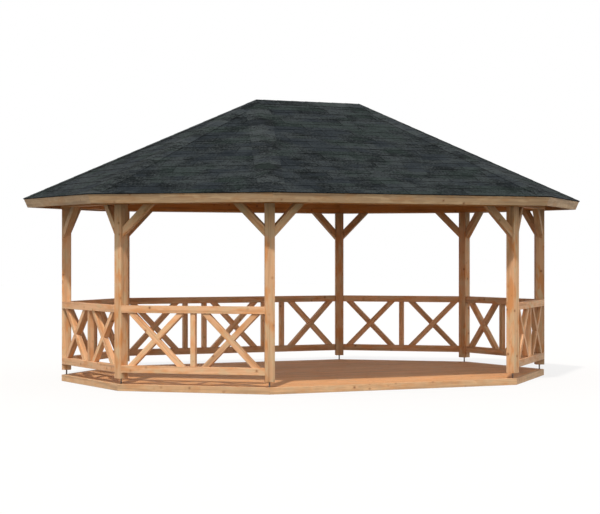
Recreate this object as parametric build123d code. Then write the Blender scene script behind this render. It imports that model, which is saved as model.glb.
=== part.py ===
from build123d import *
import os
from math import ceil, cos, radians, sin, sqrt, tan

# Garden gazebo: an elongated octagon of eight posts on a low timber deck, with a hip roof of eight
# equal slopes. The front bay is the entrance and the seven other bays carry crossed-bar railings.
# Millimetres, +Z up, origin on the ground at the centre of the plan, front towards -Y, the two long
# sides along X. The corners run counter-clockwise from the front-left post, and side k runs from
# corner k to corner k + 1.

# Plan, measured between post centres
SHORT_SIDE = 1860.0
LONG_SIDE = 3370.0

# Deck
DECK_REACH = 58.0          # outer face of the edge boards beyond the post centre lines
EDGE_BOARD_THICK = 45.0
DECK_HEIGHT = 81.0
FLOOR_THICK = 28.0
JOIST_WIDE = 45.0
JOIST_PITCH = 540.0
EDGE_BOARD_JOINT = 1.0     # clear gap between neighbouring edge boards at their inner corners

# Posts and the steel rods that lift them off the deck
POST_SIZE = 115.0
POST_LENGTH = 2069.0
POST_LIFT = 63.0
ROD_DIAMETER = 20.0

# Ring beam on the posts; its height follows from the rafters that it carries
RING_BEAM_WIDE = 95.0

# Knee braces at 45 degrees between post and ring beam
BRACE_WIDE = 88.0
BRACE_RECESS = 17.0        # outer face behind the ring beam's; the inner faces are flush
BRACE_DROP = 401.0         # lower end of a brace below the ring beam, along the post

# Railings
RAIL_HIGH = 87.0
RAIL_THICK = 95.0
TOP_RAIL_HEIGHT = 933.0    # top of the upper rail above the deck
BOTTOM_RAIL_HEIGHT = 136.5 # underside of the lower rail above the deck
UPRIGHT_WIDE = 62.0
CROSS_BAR_WIDE = 67.0
LATTICE_RECESS = 16.0      # uprights and crossed bars set back from both faces of the rails

# Roof
ROOF_SLOPE = 25.0          # degrees
EAVE_REACH = 500.0         # top outer edge of the fascia beyond the post centre lines
EAVE_RISE = 107.0          # top outer edge of the fascia above the ring beam's underside
BOARDING_THICK = 18.0
SHINGLE_THICK = 10.0
SHINGLE_OVERHANG = 6.0
CAP_THICK = 6.0
CAP_WIDE = 160.0           # each side of a hip or of the ridge
FASCIA_HIGH = 117.0
FASCIA_THICK = 20.0
FASCIA_LEAN = 22.0         # degrees, the boards' lower edges inward
FASCIA_JOINT = 1.0         # clear gap between neighbouring fascia boards, along the eave
RAFTER_DEEP = 98.0
BIRDSMOUTH_DEEP = 18.0     # notch of a rafter over the ring beam's outer edge
HIP_RAFTER_WIDE = 58.0
COMMON_RAFTER_WIDE = 45.0
COMMON_RAFTER_PITCH = 600.0    # at most
COMMON_RAFTER_INSET = 175.0    # outermost pair in from a ridge end
RIDGE_BEAM_WIDE = 45.0
RIDGE_BEAM_HIGH = 150.0
RIDGE_BLOCK_MARGIN = 2.0   # face of the octagonal block beside a hip rafter
RIDGE_BLOCK_DROP = 30.0    # the block hangs this far below the ridge beam
PLATE_GAP = 1.0            # half the clear gap between neighbouring roof plates at a hip

POST_NAMES = ["front_left", "front_right", "right_front", "right_back",
              "back_right", "back_left", "left_back", "left_front"]
SIDE_NAMES = ["front", "front_right", "right", "back_right",
              "back", "back_left", "left", "front_left"]
ENTRANCE = SIDE_NAMES.index("front")
LONG_SIDES = [SIDE_NAMES.index("front"), SIDE_NAMES.index("back")]
BACK = SIDE_NAMES.index("back")

# Values that follow from the sizes above
TURN = radians(45)
HALF_TURN = TURN / 2
SLOPE = radians(ROOF_SLOPE)
LEAN = radians(FASCIA_LEAN)
APOTHEM = SHORT_SIDE / 2 / tan(HALF_TURN)      # post centre lines to the ridge, in plan
RIDGE_HALF = (LONG_SIDE - SHORT_SIDE) / 2
POST_UNDERSIDE = DECK_HEIGHT + POST_LIFT
POST_EDGE_REACH = POST_SIZE / 2 * (cos(HALF_TURN) + sin(HALF_TURN))  # post's outer edges, off the side's line
RAFTER_TOP_DEPTH = BOARDING_THICK
RAFTER_BOTTOM_DEPTH = BOARDING_THICK + RAFTER_DEEP
RING_BEAM_UNDERSIDE = POST_UNDERSIDE + POST_LENGTH
EAVE_HEIGHT = RING_BEAM_UNDERSIDE + EAVE_RISE
TOP_RAIL_TOP = DECK_HEIGHT + TOP_RAIL_HEIGHT
BOTTOM_RAIL_UNDERSIDE = DECK_HEIGHT + BOTTOM_RAIL_HEIGHT
BRACE_THICK = RING_BEAM_WIDE - BRACE_RECESS
LATTICE_THICK = RAIL_THICK - 2 * LATTICE_RECESS
RIDGE_BLOCK_RADIUS = (HIP_RAFTER_WIDE / 2 + RIDGE_BLOCK_MARGIN) / sin(HALF_TURN)
RIDGE_BLOCK_APOTHEM = RIDGE_BLOCK_RADIUS * cos(HALF_TURN)
RIDGE_BLOCK_BACK = RIDGE_BLOCK_RADIUS * cos(TURN)   # ridge end back to the face that takes the ridge beam


def surface_height(reach, depth):
    """Height of the roof at a plan reach beyond the post lines and a depth square to the slope."""
    return EAVE_HEIGHT + (EAVE_REACH - reach) * tan(SLOPE) - depth / cos(SLOPE)


RING_BEAM_TOP = surface_height(POST_EDGE_REACH, RAFTER_BOTTOM_DEPTH) + BIRDSMOUTH_DEEP
RIDGE_CREST = surface_height(-APOTHEM, RAFTER_TOP_DEPTH)
RIDGE_BEAM_UNDERSIDE = RIDGE_CREST - RIDGE_BEAM_HIGH


# ---------------------------------------------------------------- plan and frames

def bisector_angle(k):
    """Direction in which corner k points outward, in radians from +X."""
    return -5 * HALF_TURN + k * TURN


def ridge_end(k):
    """X of the ridge end that corner k belongs to."""
    return RIDGE_HALF if cos(bisector_angle(k)) > 0 else -RIDGE_HALF


def corner(k, reach=0.0):
    """Plan point of corner k, with every side of the octagon moved outward by reach."""
    k %= 8
    radius = (APOTHEM + reach) / cos(HALF_TURN)
    angle = bisector_angle(k)
    return (ridge_end(k) + radius * cos(angle), radius * sin(angle))


def half_side(k, reach=0.0):
    """Half the length of side k, with every side moved outward by reach."""
    base = LONG_SIDE if k in LONG_SIDES else SHORT_SIDE
    return base / 2 + reach * tan(HALF_TURN)


def side_frame(k):
    """Frame at the middle of side k on the ground: +X along the side, +Y inward, +Z up."""
    first = Vector(*corner(k), 0)
    last = Vector(*corner(k + 1), 0)
    return Plane(origin=(first + last) / 2, x_dir=last - first, z_dir=(0, 0, 1)).location


def corner_frame(k):
    """Frame at corner k on the ground: +Y inward along the bisector, +Z up."""
    angle = bisector_angle(k)
    return Plane(origin=(*corner(k), 0), x_dir=(-sin(angle), cos(angle), 0), z_dir=(0, 0, 1)).location


def roof_frame(k):
    """Frame on roof slope k at the fascia's top outer edge: +X along the eave, +Y up the slope, +Z out."""
    lift = Plane(origin=(0, -EAVE_REACH, EAVE_HEIGHT), x_dir=(1, 0, 0), z_dir=(0, -sin(SLOPE), cos(SLOPE)))
    return side_frame(k) * lift.location


def box(x_range, y_range, z_range):
    """Box between pairs of coordinates."""
    ranges = [x_range, y_range, z_range]
    size = [high - low for low, high in ranges]
    centre = [(low + high) / 2 for low, high in ranges]
    return Pos(*centre) * Box(*size)


def extruded(points, low, high):
    """Prism over a plan outline, between two heights."""
    return Pos(0, 0, low) * extrude(make_face(Polyline(*points, close=True)), high - low)


def ring_prism(reach, low, high):
    """The whole octagon, moved outward by reach, between two heights."""
    return extruded([corner(k, reach) for k in range(8)], low, high)


def between(first, second):
    """Solid between two matching outlines in space, joined by flat faces."""
    faces = [Face(Wire.make_polygon(first)), Face(Wire.make_polygon(second))]
    count = len(first)
    for i in range(count):
        j = (i + 1) % count
        faces.append(Face(Wire.make_polygon([first[i], first[j], second[j], second[i]])))
    return Solid(Shell(faces)).fix()


# ---------------------------------------------------------------- deck

def deck_floor():
    """Boarded floor inside the edge boards, its boards running along X."""
    return ring_prism(DECK_REACH - EDGE_BOARD_THICK, DECK_HEIGHT - FLOOR_THICK, DECK_HEIGHT)


def deck_joists():
    """Joists across the deck under the floor, ending against the edge boards."""
    inside = ring_prism(DECK_REACH - EDGE_BOARD_THICK, 0, DECK_HEIGHT - FLOOR_THICK)
    half_length = corner(2)[0]
    half_width = APOTHEM + DECK_REACH
    count = int(half_length / JOIST_PITCH)
    joists = []
    for i in range(-count, count + 1):
        x = i * JOIST_PITCH
        strip = box((x - JOIST_WIDE / 2, x + JOIST_WIDE / 2), (-half_width, half_width), (0, DECK_HEIGHT))
        joists.append(strip & inside)
    return joists


def deck_edge_boards():
    """Square-cut boards around the deck, nearly meeting at their inner corners."""
    boards = []
    for k in range(8):
        half = half_side(k, DECK_REACH - EDGE_BOARD_THICK) - EDGE_BOARD_JOINT / 2
        board = box((-half, half), (-DECK_REACH, EDGE_BOARD_THICK - DECK_REACH), (0, DECK_HEIGHT))
        boards.append(side_frame(k) * board)
    return boards


# ---------------------------------------------------------------- posts, beams and braces

def post_rods():
    """Steel rods that carry the posts clear of the deck."""
    standing = (Align.CENTER, Align.CENTER, Align.MIN)
    rod = Pos(0, 0, DECK_HEIGHT) * Cylinder(ROD_DIAMETER / 2, POST_LIFT, align=standing)
    return [corner_frame(k) * rod for k in range(8)]


def post(k):
    """Square post with one face turned outward along the bisector of its corner."""
    half = POST_SIZE / 2
    return corner_frame(k) * box((-half, half), (-half, half), (POST_UNDERSIDE, RING_BEAM_UNDERSIDE))


def post_face(y):
    """Distance along a side from the post centre to the post's side face, at local depth y."""
    return (POST_SIZE / 2 + y * sin(HALF_TURN)) / cos(HALF_TURN)


def bay(k, thick, low, high, recess=0.0):
    """Space between the two posts of side k, inward by thick from recess behind the posts' outer edges."""
    outer = -POST_EDGE_REACH + recess
    inner = outer + thick
    half = half_side(k)
    outline = [(-half + post_face(outer), outer), (half - post_face(outer), outer),
               (half - post_face(inner), inner), (-half + post_face(inner), inner)]
    return extruded(outline, low, high)


def ring_beam(k):
    """Beam over side k, mitred to its neighbours above the posts."""
    outer = POST_EDGE_REACH
    inner = outer - RING_BEAM_WIDE
    outline = [corner(k, outer), corner(k + 1, outer), corner(k + 1, inner), corner(k, inner)]
    return extruded(outline, RING_BEAM_UNDERSIDE, RING_BEAM_TOP)


def upright_slab(points, thick, outer):
    """Slab with an outline in the local XZ plane, from local y = outer inward by thick."""
    face = make_face(Polyline(*[(x, outer, z) for x, z in points], close=True))
    return extrude(face, thick, dir=(0, 1, 0))


def knee_braces(k):
    """Pair of braces in side k, cut to the post faces and to the ring beam's underside."""
    space = bay(k, BRACE_THICK, POST_UNDERSIDE, RING_BEAM_UNDERSIDE, BRACE_RECESS)
    rise = BRACE_WIDE * sqrt(2)
    start = half_side(k) - post_face(-POST_EDGE_REACH)
    foot = RING_BEAM_UNDERSIDE - BRACE_DROP
    run = 2 * BRACE_DROP
    outline = [(start + BRACE_DROP, foot - BRACE_DROP), (start - run, foot + run),
               (start - run, foot + run + rise), (start + BRACE_DROP, foot - BRACE_DROP + rise)]
    right = upright_slab(outline, BRACE_THICK, BRACE_RECESS - POST_EDGE_REACH) & space
    left = mirror(right, about=Plane.YZ)
    return [side_frame(k) * left, side_frame(k) * right]


# ---------------------------------------------------------------- railings

def field_width():
    """Clear width of one crossed-bar field: half a short bay beside its single upright."""
    clear = 2 * (half_side(SIDE_NAMES.index("left")) - post_face(-POST_EDGE_REACH))
    return (clear - UPRIGHT_WIDE) / 2


def fields(k):
    """Middles of the crossed-bar fields of side k: two in a short bay, three in the long one."""
    clear = half_side(k) - post_face(-POST_EDGE_REACH)
    end = clear - field_width() / 2
    return [-end, 0, end] if k == BACK else [-end, end]


def uprights(k):
    """Middles of the uprights of side k, one beside each inner end of a field."""
    if k != BACK:
        return [0]
    beside = (field_width() + UPRIGHT_WIDE) / 2
    outer = fields(k)[2] - beside
    return [-outer, -beside, beside, outer]


def crossed_bars(x, low, high):
    """Two bars crossing at 45 degrees about the middle of a field, each ending on both rails."""
    run = (high - low) / 2
    foot = CROSS_BAR_WIDE / sqrt(2)
    outline = [(-run - foot, low), (foot - run, low), (run + foot, high), (run - foot, high)]
    bar = upright_slab(outline, LATTICE_THICK, LATTICE_RECESS - POST_EDGE_REACH)
    return Pos(x, 0, 0) * (bar + mirror(bar, about=Plane.YZ))


def railing(k):
    """Railing panel: two rails, uprights between the fields and two crossed bars in each field."""
    low = BOTTOM_RAIL_UNDERSIDE + RAIL_HIGH
    high = TOP_RAIL_TOP - RAIL_HIGH
    front = LATTICE_RECESS - POST_EDGE_REACH
    panel = bay(k, RAIL_THICK, BOTTOM_RAIL_UNDERSIDE, low) + bay(k, RAIL_THICK, high, TOP_RAIL_TOP)
    for x in uprights(k):
        width = (x - UPRIGHT_WIDE / 2, x + UPRIGHT_WIDE / 2)
        panel += box(width, (front, front + LATTICE_THICK), (low, high))
    for x in fields(k):
        panel += crossed_bars(x, low, high)
    return side_frame(k) * panel


# ---------------------------------------------------------------- roof

def reach_at(s, depth):
    """Plan reach beyond the post centre lines, s up the slope from the eave and depth below its surface."""
    return EAVE_REACH - s * cos(SLOPE) - depth * sin(SLOPE)


def slope_at(reach, depth):
    """Distance up the slope of the point with this plan reach and depth."""
    return (EAVE_REACH - reach - depth * sin(SLOPE)) / cos(SLOPE)


def roof_plate(k, start, upper, lower, gap=0.0):
    """Layer of roof slope k between two depths, from start up to the ridge, with mitred hips."""
    outlines = []
    for depth in (upper, lower):
        half = half_side(k, reach_at(start, depth)) - gap
        if k in LONG_SIDES:
            top = gap - APOTHEM
            top_half = half_side(k, top) - gap
            end = slope_at(top, depth)
            outline = [(-half, start), (half, start), (top_half, end), (-top_half, end)]
        else:
            end = slope_at(gap / tan(HALF_TURN) - APOTHEM, depth)
            outline = [(-half, start), (half, start), (0, end)]
        outlines.append([(x, y, -depth) for x, y in outline])
    return roof_frame(k) * between(*outlines)


def mitred(k, outline, gap=0.0):
    """Length along side k with an outline of reaches and heights, mitred at both corners."""
    rings = [[(sign * (half_side(k, reach) - gap), -reach, z) for reach, z in outline] for sign in (-1, 1)]
    return side_frame(k) * between(*rings)


def fascia_point(down, back):
    """Reach and height of a point of the fascia: down its face from the eave, and back into the board."""
    reach = EAVE_REACH - down * sin(LEAN) - back * cos(LEAN)
    return (reach, EAVE_HEIGHT - down * cos(LEAN) + back * sin(LEAN))


def tail_reach(depth):
    """Plan reach of the fascia's inner face at a depth below the roof's surface."""
    lag = SLOPE - LEAN
    return reach_at(FASCIA_THICK / cos(lag) - depth * tan(lag), depth)


def roof_boarding():
    """Boarding of the eight slopes, its eave ends cut to the fascia."""
    return [roof_plate(k, 0, 0, BOARDING_THICK, PLATE_GAP) - outside_fascia(k) for k in range(8)]


def roof_shingles():
    """Shingle layer of the eight slopes, lapping a little over the fascia."""
    return [roof_plate(k, -SHINGLE_OVERHANG, -SHINGLE_THICK, 0, PLATE_GAP) for k in range(8)]


def roof_capping():
    """Folded shingle strips over the ridge and the eight hips."""
    capping = None
    for k in range(8):
        strip = roof_plate(k, -SHINGLE_OVERHANG, -SHINGLE_THICK - CAP_THICK, -SHINGLE_THICK)
        strip -= roof_frame(k) * open_field(k)
        capping = strip if capping is None else capping + strip
    return capping


def open_field(k):
    """The part of slope k between its cappings, as a block through the roof."""
    start = -2 * SHINGLE_OVERHANG
    base = half_side(k, reach_at(start, 0))
    top = slope_at(-APOTHEM, 0)
    top_half = RIDGE_HALF if k in LONG_SIDES else 0
    hip = sqrt((base - top_half) ** 2 + (top - start) ** 2)
    inset = CAP_WIDE * hip / (top - start)
    if k in LONG_SIDES:
        lowered = top - CAP_WIDE
        half = top_half - inset + (base - top_half) * CAP_WIDE / (top - start)
        outline = [(inset - base, start), (base - inset, start), (half, lowered), (-half, lowered)]
    else:
        peak = top - inset * (top - start) / base
        outline = [(inset - base, start), (base - inset, start), (0, peak)]
    return extruded(outline, 0, 4 * SHINGLE_THICK)


def fascia_boards():
    """Boards along the eaves, bevelled to the roof on top and mitred at the corners."""
    top = tail_reach(0)
    outline = [(EAVE_REACH, EAVE_HEIGHT), (top, surface_height(top, 0)),
               fascia_point(FASCIA_HIGH, FASCIA_THICK), fascia_point(FASCIA_HIGH, 0)]
    return [mitred(k, outline, FASCIA_JOINT / 2) for k in range(8)]


def above_rafters(k):
    """Everything over the rafters of slope k."""
    return roof_plate(k, -2 * EAVE_REACH, -4 * RAFTER_DEEP, RAFTER_TOP_DEPTH)


def outside_fascia(k):
    """Everything outside the inner face of the fascia of side k."""
    far = 2 * EAVE_REACH
    outline = [fascia_point(-far, FASCIA_THICK), fascia_point(far, FASCIA_THICK),
               fascia_point(far, -far), fascia_point(-far, -far)]
    return mitred(k, outline)


def hip_rafter(k, beams):
    """Hip rafter from the ridge block to the eave corner, its top backed to both slopes."""
    hip_slope = tan(SLOPE) * cos(HALF_TURN)
    head = RIDGE_BLOCK_APOTHEM
    tail = (APOTHEM + EAVE_REACH) / cos(HALF_TURN)
    deep = RAFTER_DEEP / cos(SLOPE)
    ends = [(head, 0), (tail, 0), (tail, deep), (head, deep)]
    outline = [(x, RIDGE_CREST - drop - x * hip_slope) for x, drop in ends]
    slab = upright_slab(outline, HIP_RAFTER_WIDE, -HIP_RAFTER_WIDE / 2)
    angle = bisector_angle(k)
    place = Plane(origin=(ridge_end(k), 0, 0), x_dir=(cos(angle), sin(angle), 0), z_dir=(0, 0, 1)).location
    rafter = place * slab
    for side in ((k - 1) % 8, k):
        rafter = rafter - above_rafters(side) - outside_fascia(side) - beams[side]
    return rafter


def common_rafters(beams):
    """Pairs of rafters between the ridge beam and the long eaves, evenly spaced along the ridge."""
    rafters = []
    span = 2 * (RIDGE_HALF - COMMON_RAFTER_INSET)
    spaces = ceil(span / COMMON_RAFTER_PITCH)
    head_reach = RIDGE_BEAM_WIDE / 2 - APOTHEM
    outline = [(-tail_reach(RAFTER_TOP_DEPTH), RAFTER_TOP_DEPTH), (-head_reach, RAFTER_TOP_DEPTH),
               (-head_reach, RAFTER_BOTTOM_DEPTH), (-tail_reach(RAFTER_BOTTOM_DEPTH), RAFTER_BOTTOM_DEPTH)]
    points = [(0, y, surface_height(-y, depth)) for y, depth in outline]
    profile = make_face(Polyline(*points, close=True))
    slab = Pos(-COMMON_RAFTER_WIDE / 2, 0, 0) * extrude(profile, COMMON_RAFTER_WIDE, dir=(1, 0, 0))
    for k in LONG_SIDES:
        for i in range(spaces + 1):
            x = span * (i / spaces - 0.5)
            rafters.append(side_frame(k) * (Pos(x, 0, 0) * slab) - beams[k])
    return rafters


def ridge_beam():
    """Ridge beam between the two blocks, its top bevelled to both slopes."""
    half = RIDGE_BEAM_WIDE / 2
    end = RIDGE_HALF - RIDGE_BLOCK_BACK
    shoulder = surface_height(half - APOTHEM, RAFTER_TOP_DEPTH)
    low = RIDGE_BEAM_UNDERSIDE
    points = [(-half, low), (half, low), (half, shoulder), (0, RIDGE_CREST), (-half, shoulder)]
    profile = make_face(Polyline(*[(-end, y, z) for y, z in points], close=True))
    return extrude(profile, 2 * end, dir=(1, 0, 0))


def ridge_blocks():
    """Octagonal blocks at the ridge ends, each taking four hip rafters and the ridge beam."""
    blocks = []
    radius = RIDGE_BLOCK_RADIUS
    outline = [(radius * cos(i * TURN), radius * sin(i * TURN)) for i in range(-3, 4)]
    shape = extruded(outline, RIDGE_BEAM_UNDERSIDE - RIDGE_BLOCK_DROP, RIDGE_CREST)
    for turned in (0, 180):
        block = Rot(0, 0, turned) * (Pos(RIDGE_HALF, 0, 0) * shape)
        for k in range(8):
            block -= above_rafters(k)
        blocks.append(block)
    return blocks


# ---------------------------------------------------------------- assembly

def solids_of(shape):
    """Solids of a shape or of a list of shapes."""
    shapes = shape if isinstance(shape, list) else [shape]
    return [solid for item in shapes for solid in item.solids()]


def build():
    """All pieces by node name."""
    beams = [ring_beam(k) for k in range(8)]
    pieces = {
        "deck_floor": deck_floor(),
        "deck_joists": deck_joists(),
        "deck_edge_boards": deck_edge_boards(),
        "post_rods": post_rods(),
    }
    for k, name in enumerate(POST_NAMES):
        pieces[f"post_{name}"] = post(k)
    for k, name in enumerate(SIDE_NAMES):
        pieces[f"ring_beam_{name}"] = beams[k]
        pieces[f"knee_braces_{name}"] = knee_braces(k)
        if k != ENTRANCE:
            pieces[f"railing_{name}"] = railing(k)
    pieces["hip_rafters"] = [hip_rafter(k, beams) for k in range(8)]
    pieces["common_rafters"] = common_rafters(beams)
    pieces["ridge_beam"] = ridge_beam()
    pieces["ridge_blocks"] = ridge_blocks()
    pieces["roof_boarding"] = roof_boarding()
    pieces["fascia_boards"] = fascia_boards()
    pieces["roof_shingles"] = roof_shingles()
    pieces["roof_capping"] = roof_capping()
    return pieces


os.makedirs("parts", exist_ok=True)
for name, shape in build().items():
    solids = solids_of(shape)
    export_step(solids[0] if len(solids) == 1 else Compound(solids), f"parts/{name}.step")
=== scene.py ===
import logging
import math
import random
from dataclasses import dataclass, field
from enum import Enum
from functools import partial
from typing import Any, Callable, Iterable, Sequence

import bmesh
import bpy
from bpy.types import Material, Node, NodeSocket, NodeTree, Object, World
from mathutils import Matrix, Vector


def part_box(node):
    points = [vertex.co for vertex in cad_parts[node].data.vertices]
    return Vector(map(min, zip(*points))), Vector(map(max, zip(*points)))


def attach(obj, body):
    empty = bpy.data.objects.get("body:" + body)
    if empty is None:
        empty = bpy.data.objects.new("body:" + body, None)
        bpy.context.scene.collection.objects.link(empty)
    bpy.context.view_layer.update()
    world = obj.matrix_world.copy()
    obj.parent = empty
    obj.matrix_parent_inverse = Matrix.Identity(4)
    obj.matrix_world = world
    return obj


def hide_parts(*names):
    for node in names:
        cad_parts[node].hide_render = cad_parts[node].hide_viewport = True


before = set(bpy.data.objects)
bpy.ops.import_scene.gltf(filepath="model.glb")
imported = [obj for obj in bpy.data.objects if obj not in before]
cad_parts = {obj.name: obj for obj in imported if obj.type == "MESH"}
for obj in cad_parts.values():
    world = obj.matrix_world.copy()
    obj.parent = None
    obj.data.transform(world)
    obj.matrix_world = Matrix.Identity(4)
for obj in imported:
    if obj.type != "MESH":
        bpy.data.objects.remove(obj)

# Finished looks of a timber garden gazebo: an elongated octagon of eight posts on a low deck, seven
# railed bays, and a hip roof of eight slopes under shingles. Metres, +Z up, front towards -Y. The
# corners run counter-clockwise from the front-left post, and side k runs from corner k to k + 1.

BODY = "root"
POST_NAMES = ["front_left", "front_right", "right_front", "right_back",
              "back_right", "back_left", "left_back", "left_front"]
SIDE_NAMES = ["front", "front_right", "right", "back_right",
              "back", "back_left", "left", "front_left"]
FRONT = SIDE_NAMES.index("front")
BACK = SIDE_NAMES.index("back")
LONG_SIDES = (FRONT, BACK)
CORNERS = len(POST_NAMES)
TURN = math.tau / CORNERS
HALF_TURN = TURN / 2
ALONG = Vector((1, 0, 0))
INWARD = Vector((0, 1, 0))
UP = Vector((0, 0, 1))
MERGE = 1e-5                # corners closer than this are one corner
FLAT = math.radians(1)      # faces that meet at less than this are one face
SHARP = math.radians(20)    # arrises sharper than this are eased
STRAIGHT = 0.999            # least cosine between an edge and the way that it runs
UPRIGHT = 0.9               # rise from which a timber counts as upright
CUT_DISTANCE = 1e-6         # corners closer than this to a cutting plane lie on it
LENGTH_DIGITS = 5           # lengths that agree to this many digits are equal
TIMBER_SEED = 5982          # draws the timbers' tones and figures
WHITE = (1.0, 1.0, 1.0, 1.0)
FACTOR, FIRST, SECOND = 0, 6, 7     # inputs of a Mix node that blends colours

Colour = tuple[float, float, float]
Triple = tuple[float, float, float]
Step = tuple[float, float]
Solid = bmesh.types.BMesh
Edge = bmesh.types.BMEdge
Face = bmesh.types.BMFace
log = logging.getLogger("gazebo")


class Slot(Enum):
    """Material slots, each the finish of one group of pieces."""

    DECK = "deck_timber"
    FRAME = "frame_timber"
    RAILING = "railing_timber"
    ROOF = "roof_timber"
    SHINGLE = "shingle"
    STEEL = "rod_steel"


# ---------------------------------------------------------------- plan and roof shape

@dataclass(frozen=True)
class Plan:
    """The elongated octagon through the post centres.

    Attributes:
        posts: Post centres on the ground, counter-clockwise from the front left.
    """

    posts: tuple[Vector, ...]

    @classmethod
    def read(cls) -> "Plan":
        """Reads the post centres from the frame.

        Returns:
            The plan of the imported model.
        """
        centres = []
        for name in POST_NAMES:
            low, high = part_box(f"post_{name}")
            middle = (low + high) / 2
            centres.append(Vector((middle.x, middle.y, 0)))
        return cls(tuple(centres))

    @property
    def apothem(self) -> float:
        """Distance in plan from the post centre lines to the ridge."""
        return -self.posts[0].y

    @property
    def ridge_half(self) -> float:
        """Half the length of the ridge."""
        return self.posts[1].x - self.apothem * math.tan(HALF_TURN)

    def bisector(self, k: int) -> Vector:
        """Outward direction of corner k in plan."""
        angle = -math.pi / 2 - HALF_TURN + k * TURN
        return Vector((math.cos(angle), math.sin(angle), 0))

    def outward(self, k: int) -> Vector:
        """Outward direction of side k in plan."""
        angle = -math.pi / 2 + k * TURN
        return Vector((math.cos(angle), math.sin(angle), 0))

    def ridge_end(self, k: int) -> Vector:
        """Plan point of the ridge end that corner k belongs to."""
        return Vector((math.copysign(self.ridge_half, self.bisector(k).x), 0, 0))

    def corner(self, k: int, reach: float = 0.0) -> Vector:
        """Plan point of corner k, with every side moved outward.

        Args:
            k: Corner, counted from the front left.
            reach: How far the sides are moved outward.

        Returns:
            The point on the ground.
        """
        k %= CORNERS
        return self.ridge_end(k) + self.bisector(k) * (self.apothem + reach) / math.cos(HALF_TURN)

    def half_side(self, k: int, reach: float = 0.0) -> float:
        """Half the length of side k, with every side moved outward by reach."""
        return (self.corner(k + 1, reach) - self.corner(k, reach)).length / 2

    def side(self, k: int) -> Matrix:
        """Frame at the middle of side k on the ground: X along the side, Y inward, Z up.

        Args:
            k: Side, counted from the front.

        Returns:
            The frame's matrix.
        """
        first = self.corner(k)
        last = self.corner(k + 1)
        along = (last - first).normalized()
        axes = Matrix((along, UP.cross(along), UP)).transposed().to_4x4()
        return Matrix.Translation((first + last) / 2) @ axes


@dataclass(frozen=True)
class RoofShape:
    """Planes of the hip roof, worked out from the plan and the fascia's box.

    Attributes:
        plan: The plan that the roof covers.
        slope: Pitch of all eight slopes.
        lean: How far the fascia leans in at its lower edge, off the upright.
        fascia_thick: Thickness of the fascia boards, which end the boarding.
        overhang: How far the shingles reach past the fascia, down the slope.
        gap: Half the clear gap between neighbouring slopes at a hip.
    """

    plan: Plan
    slope: float = math.radians(25)
    lean: float = math.radians(22)
    fascia_thick: float = 0.020
    overhang: float = 0.006
    gap: float = 0.001

    @property
    def eave_reach(self) -> float:
        """Top outer edge of the fascia beyond the post centre lines."""
        return -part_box("fascia_boards")[0].y - self.plan.apothem

    @property
    def eave_height(self) -> float:
        """Height of the fascia's top outer edge."""
        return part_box("fascia_boards")[1].z - self.board_start * math.sin(self.slope)

    @property
    def board_start(self) -> float:
        """Distance up the slope at which the boarding comes out from behind the fascia."""
        return self.fascia_thick / math.cos(self.slope - self.lean)

    @property
    def length(self) -> float:
        """Length of a slope from the fascia's top outer edge to the ridge."""
        return (self.plan.apothem + self.eave_reach) / math.cos(self.slope)

    def reach(self, s: float, depth: float = 0.0) -> float:
        """Reach beyond the post centre lines, s up the slope and depth below its surface."""
        return self.eave_reach - s * math.cos(self.slope) - depth * math.sin(self.slope)

    def place(self, k: int) -> Matrix:
        """Frame on slope k at the fascia's top edge: X along the eave, Y up the slope, Z out."""
        eave = Matrix.Translation((0, -self.eave_reach, self.eave_height))
        return self.plan.side(k) @ eave @ Matrix.Rotation(self.slope, 4, "X")

    def hip(self, k: int, s: float, depth: float) -> Vector:
        """Point on the hip of corner k.

        Args:
            k: Corner, counted from the front left.
            s: Distance up the neighbouring slopes from the eave.
            depth: Depth below the slopes' surface, negative above it.

        Returns:
            The point in space.
        """
        point = self.plan.corner(k, self.reach(s, depth))
        point.z = self.eave_height + s * math.sin(self.slope) - depth * math.cos(self.slope)
        return point

    def fascia_back(self, k: int) -> tuple[Vector, Vector]:
        """Point on the inner face of the fascia of slope k, and that face's outward normal.

        Args:
            k: Slope, counted from the front.

        Returns:
            The point and the normal.
        """
        outward = Vector((0, -math.cos(self.lean), -math.sin(self.lean)))
        point = self.place(k) @ Vector((0, self.board_start, 0))
        return point, self.plan.side(k).to_3x3() @ outward

    def limits(self, k: int) -> list[tuple[Vector, Vector]]:
        """Upright planes that bound slope k: its two hips and, on a long side, the ridge.

        Args:
            k: Slope, counted from the front.

        Returns:
            Point and outward normal of each plane.
        """
        planes = []
        for corner, sign in ((k, -1), ((k + 1) % CORNERS, 1)):
            normal = UP.cross(self.plan.bisector(corner)) * sign
            planes.append((self.plan.ridge_end(corner) - normal * self.gap, normal))
        if k in LONG_SIDES:
            inward = -self.plan.outward(k)
            planes.append((-inward * self.gap, inward))
        return planes


# ---------------------------------------------------------------- node trees

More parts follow.
